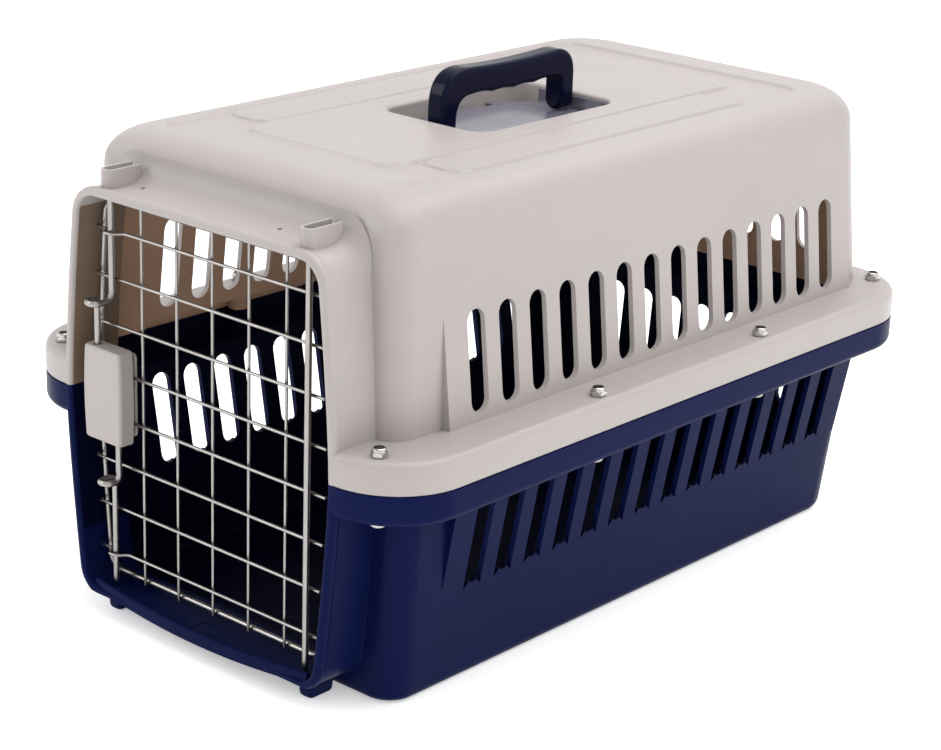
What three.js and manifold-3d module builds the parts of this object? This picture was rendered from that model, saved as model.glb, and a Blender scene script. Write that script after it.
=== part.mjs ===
// Hard-sided pet transport carrier: two bolted plastic shells, a hinged wire door
// with a two-rod squeeze latch, and a folding carry handle.
// Millimetres. X is the width, Y the length with the door at -Y, Z is up.
import * as THREE from 'three';
import { mergeVertices } from 'three/addons/utils/BufferGeometryUtils.js';
import Module from 'manifold-3d';

const wasm = await Module();
wasm.setup();

// ---------------------------------------------------------------- driving sizes
const LENGTH = 476;
const WIDTH = 298;
const SHELL_HEIGHT = 271;
const SEAM_Z = 131.4;
const WALL = 3;
const GAP = 0.3;

// flange, where the two shells meet
const FLANGE_HALF = WIDTH / 2;
const FLANGE_FRONT = -237;
const FLANGE_REAR = FLANGE_FRONT + LENGTH;
const FLANGE_RISE = 17.3;
const FLANGE_TOP = SEAM_Z + FLANGE_RISE;
const FLANGE_BOTTOM = SEAM_Z - FLANGE_RISE;
const FLANGE_FRONT_RADIUS = 44.5;
const FLANGE_REAR_RADIUS = 48;

// cabin walls
const TOP_HALF = 117.5;
const BASE_HALF = 116;
const CABIN_FRONT = -207;
const CABIN_REAR = 226;
const BASE_REAR = 209;
const CABIN_FRONT_RADIUS = 15;
const CABIN_REAR_RADIUS = 26;

// door collar and its opening
const COLLAR_FRONT = FLANGE_FRONT;
const COLLAR_ROOT = CABIN_FRONT + 1;
const OPENING_HALF = 99.4;
const OPENING_HALF_END = 91;
const OPENING_TOP = 243;
const OPENING_BOTTOM = 16;
const COLLAR_WALL = 5;
const LIP_TOP = 18.5;

// vents
const VENT_COUNT = 14;
const VENT_PITCH = 24.4;
const VENT_MIDDLE = 10.8;
const VENT_WIDTH = 13.6;
const VENT_TOP = [153, 208];
const VENT_BASE = [58, 110];
const REAR_VENT_COUNT = 7;
const REAR_VENT_PITCH = 24;

// carry handle and its recess
const RECESS_HALF_X = 38.5;
const RECESS_HALF_Y = 60;
const RECESS_RADIUS = 12;
const RECESS_FLOOR = 258.2;
const HANDLE_PIVOT_Z = 268;
const HANDLE_TOP = 299;
const HANDLE_X = 1.5;
const HANDLE_Y = 1;
const HANDLE_HALF_Y = 57.5;
const HANDLE_THICK = 13;
const TRUNNION_RADIUS = 2;

// wire door
const ROD_X = 76.2;
const ROD_Y = -227.5;
const ROD_RADIUS = 1.8;
const FRAME_RADIUS = 1.6;
const WIRE_RADIUS = 0.9;
const FRAME_Y = -219.5;
const UPRIGHT_Y = -222.4;
const CROSS_Y = -224.6;
const MESH_PITCH_X = 27.7;
const MESH_PITCH_Z = 26.6;
const LOWEST_CROSS_Z = 36.6;
const FRAME_TOP = 237.7;
const FRAME_BOTTOM = 22.5;
const FRAME_HALF = 87;
const FRAME_HALF_END = 81;
const FRAME_LEFT_EXTRA = 6.8;

// latch
const PIN_X = -74;
const LEG_OFFSET = 8;
const LEG_Y = -231.3;
const LOOP_Y = -236.5;
const PIN_CLEAR_TOP = 242.4;
const PIN_CLEAR_BOTTOM = 19.6;
const UPPER_LOOP_Z = 184.5;
const LOWER_LOOP_Z = 83;
const HOUSING = { x0: -89, x1: -59, y0: -236.3, y1: -226.4, z0: 105, z1: 159 };

const FOOT_X = [-78.5, 74.5];

// flange bolts
const BOLT_RADIUS = 2.5;
const BOLT_PLACES = [
  ['front', 121.6, -222.6],
  ['mid_front', 140, -73],
  ['mid_rear', 140, 76],
  ['rear', 124, 219.6],
];

// ---------------------------------------------------------------- materials
const cream = new THREE.MeshStandardMaterial({ color: 0xcfc8c2, roughness: 0.42, metalness: 0 });
const navy = new THREE.MeshStandardMaterial({ color: 0x1c2248, roughness: 0.38, metalness: 0 });
const glossNavy = new THREE.MeshStandardMaterial({ color: 0x12142c, roughness: 0.2, metalness: 0 });
const steel = new THREE.MeshStandardMaterial({ color: 0xb4b0ac, roughness: 0.32, metalness: 1 });
const zinc = new THREE.MeshStandardMaterial({ color: 0xc8c4bc, roughness: 0.25, metalness: 1 });

const carrier = new THREE.Group();

function addMesh(name, geometry, material) {
  const mesh = new THREE.Mesh(geometry, material);
  mesh.name = name;
  carrier.add(mesh);
}

// ---------------------------------------------------------------- solids
function toSolid(geometry) {
  const bare = geometry.clone();
  bare.deleteAttribute('normal');
  bare.deleteAttribute('uv');
  const merged = mergeVertices(bare, 1e-4);
  const mesh = new wasm.Mesh({
    numProp: 3,
    vertProperties: new Float32Array(merged.attributes.position.array),
    triVerts: new Uint32Array(merged.index.array),
  });
  return new wasm.Manifold(mesh);
}

function toGeometry(solid) {
  const mesh = solid.getMesh();
  const geometry = new THREE.BufferGeometry();
  geometry.setAttribute('position', new THREE.BufferAttribute(new Float32Array(mesh.vertProperties), 3));
  geometry.setIndex(new THREE.BufferAttribute(new Uint32Array(mesh.triVerts), 1));
  const flat = geometry.toNonIndexed();
  flat.computeVertexNormals();
  return flat;
}

function boxSolid(x0, x1, y0, y1, z0, z1) {
  const box = new THREE.BoxGeometry(x1 - x0, y1 - y0, z1 - z0);
  box.translate((x0 + x1) / 2, (y0 + y1) / 2, (z0 + z1) / 2);
  return toSolid(box);
}

function rodAlongZ(radius, x, y, z0, z1, sides = 10) {
  const rod = new THREE.CylinderGeometry(radius, radius, z1 - z0, sides);
  rod.rotateX(Math.PI / 2);
  rod.translate(x, y, (z0 + z1) / 2);
  return rod;
}

function rodAlongY(radius, x, z, y0, y1, sides = 10) {
  const rod = new THREE.CylinderGeometry(radius, radius, y1 - y0, sides);
  rod.translate(x, (y0 + y1) / 2, z);
  return rod;
}

function rodAlongX(radius, y, z, x0, x1, sides = 6) {
  const rod = new THREE.CylinderGeometry(radius, radius, x1 - x0, sides);
  rod.rotateZ(Math.PI / 2);
  rod.translate((x0 + x1) / 2, y, z);
  return rod;
}

// A rounded rectangle in plan, with its own radius at the front and rear corners.
function planShape(half, front, rear, frontRadius, rearRadius) {
  const shape = new THREE.Shape();
  shape.moveTo(half, front + frontRadius);
  shape.lineTo(half, rear - rearRadius);
  shape.absarc(half - rearRadius, rear - rearRadius, rearRadius, 0, Math.PI / 2, false);
  shape.absarc(-half + rearRadius, rear - rearRadius, rearRadius, Math.PI / 2, Math.PI, false);
  shape.absarc(-half + frontRadius, front + frontRadius, frontRadius, Math.PI, Math.PI * 1.5, false);
  shape.absarc(half - frontRadius, front + frontRadius, frontRadius, Math.PI * 1.5, Math.PI * 2, false);
  return shape;
}

// A plan shape carried up through levels. Each level moves the sides, front and rear.
function levelSolid(plan, levels) {
  const base = levels[0];
  const shape = planShape(base.half, base.front, base.rear, plan.frontRadius, plan.rearRadius);
  const steps = levels.length - 1;
  const geometry = new THREE.ExtrudeGeometry(shape, {
    depth: steps,
    steps,
    bevelEnabled: false,
    curveSegments: plan.segments ?? 3,
  });
  const position = geometry.attributes.position;
  for (let i = 0; i < position.count; i += 1) {
    const level = levels[Math.round(position.getZ(i))];
    const x = position.getX(i);
    const y = position.getY(i);
    const middle = (base.front + base.rear) / 2;
    const sideShift = Math.sign(x) * (level.half - base.half);
    const endShift = y > middle ? level.rear - base.rear : level.front - base.front;
    position.setXYZ(i, x + sideShift, y + endShift, level.z);
  }
  return toSolid(geometry);
}

// An outline in X and Z pushed along Y.
function pushAlongY(shape, y0, y1, curveSegments = 5) {
  const geometry = new THREE.ExtrudeGeometry(shape, { depth: y1 - y0, bevelEnabled: false, curveSegments });
  geometry.rotateX(Math.PI / 2);
  geometry.translate(0, y1, 0);
  return toSolid(geometry);
}

// An outline in Y and Z pushed along X.
function pushAlongX(shape, x0, x1, curveSegments = 5) {
  const geometry = new THREE.ExtrudeGeometry(shape, { depth: x1 - x0, bevelEnabled: false, curveSegments });
  geometry.rotateX(Math.PI / 2);
  geometry.rotateZ(Math.PI / 2);
  geometry.translate(x0, 0, 0);
  return toSolid(geometry);
}

function polygonShape(points) {
  return new THREE.Shape(points.map(([x, y]) => new THREE.Vector2(x, y)));
}

function obroundShape(middle, width, low, high) {
  const radius = width / 2;
  const shape = new THREE.Shape();
  shape.moveTo(middle + radius, low + radius);
  shape.lineTo(middle + radius, high - radius);
  shape.absarc(middle, high - radius, radius, 0, Math.PI, false);
  shape.absarc(middle, low + radius, radius, Math.PI, Math.PI * 2, false);
  return shape;
}

// A bent wire: straight runs between corner points, with rounded bends.
class BentPath extends THREE.Curve {
  constructor(corners, bendRadius) {
    super();
    this.points = [corners[0]];
    for (let i = 1; i < corners.length - 1; i += 1) {
      const before = corners[i - 1].clone().sub(corners[i]).setLength(bendRadius);
      const after = corners[i + 1].clone().sub(corners[i]).setLength(bendRadius);
      const bend = new THREE.QuadraticBezierCurve3(
        corners[i].clone().add(before),
        corners[i],
        corners[i].clone().add(after),
      );
      this.points.push(...bend.getPoints(4));
    }
    this.points.push(corners[corners.length - 1]);
  }

  getUtoTmapping(u) {
    return u;
  }

  getPoint(t) {
    const place = t * (this.points.length - 1);
    const index = Math.min(Math.floor(place + 1e-9), this.points.length - 2);
    return this.points[index].clone().lerp(this.points[index + 1], place - index);
  }

  getTangent(t) {
    const index = Math.round(t * (this.points.length - 1));
    const here = this.points[index];
    const before = this.points[Math.max(index - 1, 0)];
    const after = this.points[Math.min(index + 1, this.points.length - 1)];
    const inward = here.clone().sub(before).normalize();
    const outward = after.clone().sub(here).normalize();
    return inward.add(outward).normalize();
  }
}

function bentWire(corners, radius, bendRadius, sides = 8) {
  // An arc is cut into two pieces for each curve segment.
  const path = new BentPath(corners.map(([x, y, z]) => new THREE.Vector3(x, y, z)), bendRadius);
  const section = new THREE.Shape();
  section.absarc(0, 0, radius, 0, Math.PI * 2, false);
  return new THREE.ExtrudeGeometry(section, {
    steps: path.points.length - 1,
    extrudePath: path,
    curveSegments: sides / 2,
  });
}

// ---------------------------------------------------------------- shells
function flangeSolid(z0, z1, taper, inset) {
  const half = FLANGE_HALF - inset;
  const front = FLANGE_FRONT + inset;
  const rear = FLANGE_REAR - inset;
  const plan = { frontRadius: FLANGE_FRONT_RADIUS - inset, rearRadius: FLANGE_REAR_RADIUS - inset };
  const [low, high] = taper;
  return levelSolid(plan, [
    { z: z0, half: half - low, front: front + low, rear: rear - low },
    { z: z1, half: half - high, front: front + high, rear: rear - high },
  ]);
}

function openingShape(grow) {
  const half = OPENING_HALF + grow;
  const end = OPENING_HALF_END + grow;
  const top = OPENING_TOP + grow;
  const bottom = OPENING_BOTTOM - Math.min(grow, 4);
  const corner = 12 + grow;
  const shape = new THREE.Shape();
  shape.moveTo(-end + corner, bottom);
  shape.lineTo(end - corner, bottom);
  shape.quadraticCurveTo(end, bottom, end + 0.6, bottom + corner);
  shape.lineTo(half, SEAM_Z);
  shape.lineTo(end + 0.6, top - corner);
  shape.quadraticCurveTo(end, top, end - corner, top);
  shape.lineTo(-end + corner, top);
  shape.quadraticCurveTo(-end, top, -end - 0.6, top - corner);
  shape.lineTo(-half, SEAM_Z);
  shape.lineTo(-end - 0.6, bottom + corner);
  shape.quadraticCurveTo(-end, bottom, -end + corner, bottom);
  return shape;
}

function collarSolid(z0, z1) {
  const collar = pushAlongY(openingShape(COLLAR_WALL), COLLAR_FRONT, COLLAR_ROOT, 4);
  return collar.intersect(boxSolid(-WIDTH, WIDTH, COLLAR_FRONT - 5, COLLAR_ROOT + 1, z0, z1));
}

function openingCut() {
  return pushAlongY(openingShape(0), COLLAR_FRONT - 8, CABIN_FRONT + WALL + 10, 4);
}

// The vent panels stand out from the walls. One wedge runs along each side.
function sideWedge(low, high, shift, front, rear) {
  const inner = 100;
  const shape = polygonShape([
    [-low.x + shift, low.z],
    [-inner, low.z],
    [-inner, high.z],
    [-high.x + shift, high.z],
  ]);
  const left = pushAlongY(shape, front, rear);
  return left.add(left.mirror([1, 0, 0]));
}

function ventPlaces(count, pitch, middle) {
  return Array.from({ length: count }, (_, i) => middle + (i - (count - 1) / 2) * pitch);
}

function cutVents(shell, span, rearSpan) {
  let result = shell;
  for (const y of ventPlaces(VENT_COUNT, VENT_PITCH, VENT_MIDDLE)) {
    const slot = pushAlongX(obroundShape(y, VENT_WIDTH, span[0], span[1]), -FLANGE_HALF - 9, FLANGE_HALF + 9, 2);
    result = result.subtract(slot);
  }
  for (const x of ventPlaces(REAR_VENT_COUNT, REAR_VENT_PITCH, 0)) {
    const slot = pushAlongY(obroundShape(x, VENT_WIDTH, rearSpan[0], rearSpan[1]), 170, FLANGE_REAR + 9, 2);
    result = result.subtract(slot);
  }
  return result;
}

function boltHoles(shell) {
  let result = shell;
  for (const side of [-1, 1]) {
    for (const [, x, y] of BOLT_PLACES) {
      result = result.subtract(toSolid(rodAlongZ(BOLT_RADIUS + 0.4, side * x, y, 100, 160, 8)));
    }
  }
  return result;
}

function bossSolids(z0, z1) {
  let result = null;
  for (const side of [-1, 1]) {
    for (const [, x, y] of BOLT_PLACES) {
      const boss = toSolid(rodAlongZ(6.2, side * x, y, z0, z1, 8));
      result = result ? result.add(boss) : boss;
    }
  }
  return result;
}

const TOP_PLAN = { frontRadius: CABIN_FRONT_RADIUS, rearRadius: CABIN_REAR_RADIUS };

function topLevels(inset) {
  const roof = SHELL_HEIGHT - inset;
  const levels = [
    { z: FLANGE_TOP - WALL, half: TOP_HALF, front: CABIN_FRONT, rear: CABIN_REAR },
    { z: SHELL_HEIGHT - 20, half: TOP_HALF - 2.3, front: CABIN_FRONT + 2, rear: CABIN_REAR - 15 },
    { z: roof - 9, half: TOP_HALF - 5.5, front: CABIN_FRONT + 6, rear: CABIN_REAR - 18.5 },
    { z: roof - 2.6, half: TOP_HALF - 11, front: CABIN_FRONT + 13, rear: CABIN_REAR - 24 },
    { z: roof, half: TOP_HALF - 19, front: CABIN_FRONT + 23, rear: CABIN_REAR - 32 },
  ];
  return levels.map((level) => ({
    z: level.z,
    half: level.half - inset,
    front: level.front + inset,
    rear: level.rear - inset,
  }));
}

function recessPocket(shell) {
  const plan = { frontRadius: RECESS_RADIUS, rearRadius: RECESS_RADIUS };
  const wallY = RECESS_HALF_Y + 4.5;
  const wallX = RECESS_HALF_X + WALL;
  const outer = levelSolid(plan, [
    { z: RECESS_FLOOR - WALL, half: wallX, front: -wallY, rear: wallY },
    { z: SHELL_HEIGHT - 1, half: wallX, front: -wallY, rear: wallY },
  ]);
  const inner = levelSolid(plan, [
    { z: RECESS_FLOOR, half: RECESS_HALF_X, front: -RECESS_HALF_Y, rear: RECESS_HALF_Y },
    { z: SHELL_HEIGHT + 2, half: RECESS_HALF_X, front: -RECESS_HALF_Y, rear: RECESS_HALF_Y },
  ]);
  const reach = RECESS_HALF_Y + 3.4;
  const sockets = toSolid(rodAlongY(TRUNNION_RADIUS + 0.4, HANDLE_X, HANDLE_PIVOT_Z, -reach, reach, 12));
  const pocket = inner.add(sockets).translate([0, HANDLE_Y, 0]);
  return shell.add(outer.translate([0, HANDLE_Y, 0])).subtract(pocket);
}

// U-shaped guards over the holes where the rods come through the collar's top.
function rodGuard(x) {
  const guard = new THREE.Shape();
  const outer = 4.8;
  const inner = 3.1;
  const rear = -209;
  guard.moveTo(x + outer, rear);
  guard.lineTo(x + inner, rear);
  guard.lineTo(x + inner, ROD_Y);
  guard.absarc(x, ROD_Y, inner, 0, Math.PI, true);
  guard.lineTo(x - inner, rear);
  guard.lineTo(x - outer, rear);
  guard.lineTo(x - outer, ROD_Y);
  guard.absarc(x, ROD_Y, outer, Math.PI, Math.PI * 2, false);
  const base = OPENING_TOP + COLLAR_WALL - 1;
  const geometry = new THREE.ExtrudeGeometry(guard, { depth: 11.3, bevelEnabled: false, curveSegments: 4 });
  geometry.translate(0, 0, base);
  return toSolid(geometry);
}

function rodHoles(shell) {
  let result = shell;
  for (const x of [PIN_X, ROD_X]) {
    result = result.subtract(toSolid(rodAlongZ(ROD_RADIUS + 0.7, x, ROD_Y, 5, 20, 8)));
    result = result.subtract(toSolid(rodAlongZ(ROD_RADIUS + 0.7, x, ROD_Y, 236, 252, 8)));
  }
  return result;
}

function buildTopShell() {
  const low = SEAM_Z + GAP / 2;
  const ledge = FLANGE_TOP - WALL;
  let shell = flangeSolid(low, FLANGE_TOP, [0, 1.6], 0);
  shell = shell.subtract(flangeSolid(low - 1, ledge, [0, 1.2], WALL));
  shell = shell.add(levelSolid(TOP_PLAN, topLevels(0)));
  const wedgeLow = { x: TOP_HALF + 5.6, z: FLANGE_TOP - 1 };
  const wedgeHigh = { x: TOP_HALF - 2, z: VENT_TOP[1] + 5 };
  shell = shell.add(sideWedge(wedgeLow, wedgeHigh, 0, -172, 195));
  let cavity = levelSolid(TOP_PLAN, topLevels(WALL));
  cavity = cavity.add(sideWedge(wedgeLow, wedgeHigh, WALL, -169, 192));
  cavity = cavity.add(levelSolid(TOP_PLAN, [
    { z: low - 1, half: TOP_HALF - WALL, front: CABIN_FRONT + WALL, rear: CABIN_REAR - WALL },
    { z: FLANGE_TOP + 1, half: TOP_HALF - WALL, front: CABIN_FRONT + WALL, rear: CABIN_REAR - WALL },
  ]));
  shell = shell.subtract(cavity);
  shell = shell.add(bossSolids(low, ledge + 1));
  shell = shell.add(collarSolid(low, SHELL_HEIGHT));
  shell = shell.add(rodGuard(PIN_X)).add(rodGuard(ROD_X));
  shell = shell.subtract(openingCut());
  shell = recessPocket(shell);
  shell = cutVents(shell, VENT_TOP, [157, 206]);
  return rodHoles(boltHoles(shell));
}

function baseLevels(inset, floor) {
  const rise = FLANGE_BOTTOM + WALL;
  return [
    { z: floor, half: BASE_HALF - inset - 3, front: CABIN_FRONT + 4 + inset, rear: BASE_REAR - 3 - inset },
    { z: floor + 6, half: BASE_HALF - inset, front: CABIN_FRONT + 2 + inset, rear: BASE_REAR - inset },
    { z: rise, half: BASE_HALF + 9.6 - inset, front: CABIN_FRONT + inset, rear: BASE_REAR + 9.6 - inset },
  ];
}

function thresholdLip() {
  const lip = new THREE.Shape();
  const half = OPENING_HALF_END + 3;
  lip.moveTo(-half, COLLAR_FRONT + 3);
  lip.quadraticCurveTo(0, COLLAR_FRONT - 4.5, half, COLLAR_FRONT + 3);
  lip.lineTo(half, COLLAR_FRONT + 6);
  lip.quadraticCurveTo(0, COLLAR_FRONT + 1, -half, COLLAR_FRONT + 6);
  const geometry = new THREE.ExtrudeGeometry(lip, {
    depth: LIP_TOP - 11,
    bevelEnabled: false,
    curveSegments: 8,
  });
  geometry.translate(0, 0, 11);
  return toSolid(geometry);
}

function frontFoot(x) {
  const foot = { frontRadius: 2, rearRadius: 2, segments: 2 };
  const solid = levelSolid(foot, [
    { z: 0, half: 4.8, front: -226, rear: -209 },
    { z: 14, half: 5.8, front: -227, rear: -208 },
  ]);
  return solid.translate([x, 0, 0]);
}

function buildBaseShell() {
  const high = SEAM_Z - GAP / 2;
  const ledge = FLANGE_BOTTOM + WALL;
  let shell = flangeSolid(FLANGE_BOTTOM, high, [1.6, 0], 0);
  shell = shell.subtract(flangeSolid(ledge, high + 1, [1.2, 0], WALL));
  shell = shell.add(levelSolid(TOP_PLAN, baseLevels(0, 0)));
  const wedgeLow = { x: BASE_HALF + 4, z: VENT_BASE[0] - 4 };
  const wedgeHigh = { x: BASE_HALF + 15.4, z: ledge };
  shell = shell.add(sideWedge(wedgeLow, wedgeHigh, 0, -172, 195));
  let cavity = levelSolid(TOP_PLAN, baseLevels(WALL, WALL));
  cavity = cavity.add(sideWedge(wedgeLow, wedgeHigh, WALL, -169, 192));
  cavity = cavity.add(levelSolid(TOP_PLAN, [
    { z: ledge - 0.5, half: BASE_HALF + 6.6, front: CABIN_FRONT + WALL, rear: BASE_REAR + 6.6 },
    { z: high + 1, half: BASE_HALF + 6.6, front: CABIN_FRONT + WALL, rear: BASE_REAR + 6.6 },
  ]));
  shell = shell.subtract(cavity);
  shell = shell.add(bossSolids(ledge - 1, high));
  shell = shell.add(collarSolid(0, high));
  shell = shell.subtract(openingCut());
  shell = shell.add(thresholdLip()).add(frontFoot(FOOT_X[0])).add(frontFoot(FOOT_X[1]));
  shell = cutVents(shell, VENT_BASE, [54, 104]);
  return rodHoles(boltHoles(shell));
}

addMesh('top_shell', toGeometry(buildTopShell()), cream);
addMesh('base_shell', toGeometry(buildBaseShell()), navy);

// ---------------------------------------------------------------- fasteners
function buildNut(x, y) {
  const hex = new THREE.CylinderGeometry(4.62, 4.62, 2.8, 6);
  hex.rotateX(Math.PI / 2);
  hex.translate(x, y, FLANGE_TOP + GAP + 1.4);
  const dome = new THREE.CylinderGeometry(3.3, 3.75, 2, 8);
  dome.rotateX(Math.PI / 2);
  dome.translate(x, y, FLANGE_TOP + GAP + 3.7);
  const bore = toSolid(rodAlongZ(BOLT_RADIUS + 0.35, x, y, 140, 170, 8));
  return toGeometry(toSolid(hex).add(toSolid(dome)).subtract(bore));
}

function buildBolt(x, y) {
  const profile = [
    new THREE.Vector2(0, FLANGE_BOTTOM - GAP - 2.8),
    new THREE.Vector2(3.4, FLANGE_BOTTOM - GAP - 2.8),
    new THREE.Vector2(4.7, FLANGE_BOTTOM - GAP - 1.4),
    new THREE.Vector2(4.7, FLANGE_BOTTOM - GAP),
    new THREE.Vector2(BOLT_RADIUS, FLANGE_BOTTOM - GAP),
    new THREE.Vector2(BOLT_RADIUS, FLANGE_TOP + 2.6),
    new THREE.Vector2(0, FLANGE_TOP + 2.6),
  ];
  const bolt = new THREE.LatheGeometry(profile, 8);
  bolt.rotateX(Math.PI / 2);
  bolt.translate(x, y, 0);
  return bolt;
}

for (const [sideName, side] of [['left', -1], ['right', 1]]) {
  for (const [place, x, y] of BOLT_PLACES) {
    addMesh(`nut_${sideName}_${place}`, buildNut(side * x, y), zinc);
    addMesh(`bolt_${sideName}_${place}`, buildBolt(side * x, y), zinc);
  }
}

// ---------------------------------------------------------------- carry handle
function buildHandle() {
  const outer = HANDLE_HALF_Y;
  const inner = HANDLE_HALF_Y - 12.5;
  const foot = HANDLE_PIVOT_Z - 7;
  const under = HANDLE_TOP - 16;
  const outline = new THREE.Shape();
  outline.moveTo(-outer, foot);
  outline.lineTo(-outer, HANDLE_TOP - 17);
  outline.quadraticCurveTo(-outer, HANDLE_TOP, -outer + 17, HANDLE_TOP);
  outline.quadraticCurveTo(0, HANDLE_TOP - 2.6, outer - 15, HANDLE_TOP);
  outline.quadraticCurveTo(outer, HANDLE_TOP, outer, HANDLE_TOP - 15);
  outline.lineTo(outer, foot);
  outline.lineTo(inner, foot);
  outline.lineTo(inner, under - 5);
  outline.quadraticCurveTo(inner, under, inner - 5, under);
  const waves = 4;
  const first = inner - 5;
  const pitch = (first + inner - 12) / waves;
  for (let i = 0; i < waves; i += 1) {
    const start = first - i * pitch;
    outline.quadraticCurveTo(start - pitch / 2, under + 2, start - pitch, under);
  }
  outline.quadraticCurveTo(-inner, under, -inner, under - 12);
  outline.lineTo(-inner, foot);
  const half = HANDLE_THICK / 2;
  const clear = boxSolid(-half - 1, half + 1, -outer - 1, outer + 1, HANDLE_PIVOT_Z, HANDLE_TOP + 1);
  const round = toSolid(rodAlongY(half, 0, HANDLE_PIVOT_Z, -outer - 1, outer + 1, 20));
  const body = pushAlongX(outline, -half, half, 4).intersect(clear.add(round));
  const tip = RECESS_HALF_Y + 2.8;
  const front = toSolid(rodAlongY(TRUNNION_RADIUS, 0, HANDLE_PIVOT_Z, -tip, -inner - 4, 12));
  const rear = toSolid(rodAlongY(TRUNNION_RADIUS, 0, HANDLE_PIVOT_Z, inner + 4, tip, 12));
  return toGeometry(body.add(front).add(rear).translate([HANDLE_X, HANDLE_Y, 0]));
}

function buildRecessPlate() {
  const half = RECESS_HALF_X - 0.5;
  const long = RECESS_HALF_Y - 0.5;
  const corner = RECESS_RADIUS - 0.5;
  const plate = new THREE.Shape();
  plate.moveTo(-half + corner, -long);
  plate.lineTo(half - corner, -long);
  plate.absarc(half - corner, -long + corner, corner, -Math.PI / 2, 0, false);
  plate.lineTo(half, long - corner);
  plate.absarc(half - corner, long - corner, corner, 0, Math.PI / 2, false);
  plate.lineTo(-half + corner, long);
  plate.quadraticCurveTo(-half + 1, long * 0.6, -half + 1, 6);
  plate.lineTo(-half + 7, 6);
  plate.lineTo(-half + 7, -6);
  plate.lineTo(-half + 1, -6);
  plate.quadraticCurveTo(-half + 1, -long * 0.6, -half + corner, -long);
  const geometry = new THREE.ExtrudeGeometry(plate, { depth: 2.5, bevelEnabled: false, curveSegments: 5 });
  geometry.translate(0, HANDLE_Y, RECESS_FLOOR + GAP);
  return geometry;
}

addMesh('carry_handle', buildHandle(), glossNavy);
addMesh('recess_plate', buildRecessPlate(), glossNavy);

// ---------------------------------------------------------------- wire door
function buildDoorFrame() {
  const frame = new THREE.Shape();
  const addLoop = (path, grow) => {
    const half = FRAME_HALF + grow;
    const end = FRAME_HALF_END + grow;
    const top = FRAME_TOP + grow;
    const bottom = FRAME_BOTTOM - grow;
    const corner = 9 + grow;
    const left = -end - FRAME_LEFT_EXTRA;
    path.moveTo(left + corner, bottom);
    path.lineTo(end - corner, bottom);
    path.quadraticCurveTo(end, bottom, end, bottom + corner);
    path.lineTo(half, SEAM_Z);
    path.lineTo(end, top - corner);
    path.quadraticCurveTo(end, top, end - corner, top);
    path.lineTo(left + corner, top);
    path.quadraticCurveTo(left, top, left, top - corner);
    path.lineTo(left - half + end, SEAM_Z);
    path.lineTo(left, bottom + corner);
    path.quadraticCurveTo(left, bottom, left + corner, bottom);
  };
  addLoop(frame, FRAME_RADIUS);
  const hole = new THREE.Path();
  addLoop(hole, -FRAME_RADIUS);
  frame.holes.push(hole);
  const geometry = new THREE.ExtrudeGeometry(frame, {
    depth: 2 * FRAME_RADIUS,
    bevelEnabled: false,
    curveSegments: 4,
  });
  geometry.rotateX(Math.PI / 2);
  geometry.translate(0, FRAME_Y + FRAME_RADIUS, 0);
  return geometry;
}

function frameHalfAt(z) {
  const slope = (FRAME_HALF - FRAME_HALF_END) / (FRAME_TOP - SEAM_Z - 9);
  return FRAME_HALF - Math.abs(z - SEAM_Z) * slope;
}

function buildCrossWire(index) {
  const z = LOWEST_CROSS_Z + index * MESH_PITCH_Z;
  const end = frameHalfAt(z) + 1;
  const left = -end - FRAME_LEFT_EXTRA - 1;
  const guides = index === 0 || index === 7;
  if (!guides) {
    return rodAlongX(WIRE_RADIUS, CROSS_Y, z, left, end);
  }
  const frontY = ROD_Y - ROD_RADIUS - WIRE_RADIUS - 0.5;
  return bentWire([
    [left, CROSS_Y, z],
    [PIN_X - 4.6, CROSS_Y, z],
    [PIN_X - 3.2, frontY, z],
    [PIN_X + 3.2, frontY, z],
    [PIN_X + 4.6, CROSS_Y, z],
    [end, CROSS_Y, z],
  ], WIRE_RADIUS, 1.6, 6);
}

addMesh('door_frame', buildDoorFrame(), steel);
addMesh('hinge_rod', rodAlongZ(ROD_RADIUS, ROD_X, ROD_Y, 12.8, 255, 10), steel);
for (let i = 0; i < 5; i += 1) {
  const x = (i - 2) * MESH_PITCH_X;
  const upright = rodAlongZ(WIRE_RADIUS, x, UPRIGHT_Y, FRAME_BOTTOM - 1.6, FRAME_TOP + 1.6, 6);
  addMesh(`door_upright_${i + 1}`, upright, steel);
}
for (let i = 0; i < 8; i += 1) {
  addMesh(`door_cross_${i + 1}`, buildCrossWire(i), steel);
}

// ---------------------------------------------------------------- latch
function latchRod(legSide, loopZ, tipZ, legEndZ) {
  const legX = PIN_X + legSide * LEG_OFFSET;
  return bentWire([
    [PIN_X, ROD_Y, tipZ],
    [PIN_X, ROD_Y, loopZ],
    [PIN_X, LOOP_Y - 3.2, loopZ],
    [legX, LOOP_Y - 3.2, loopZ],
    [legX, LEG_Y, loopZ],
    [legX, LEG_Y, legEndZ],
  ], ROD_RADIUS, 3.9, 8);
}

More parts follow.
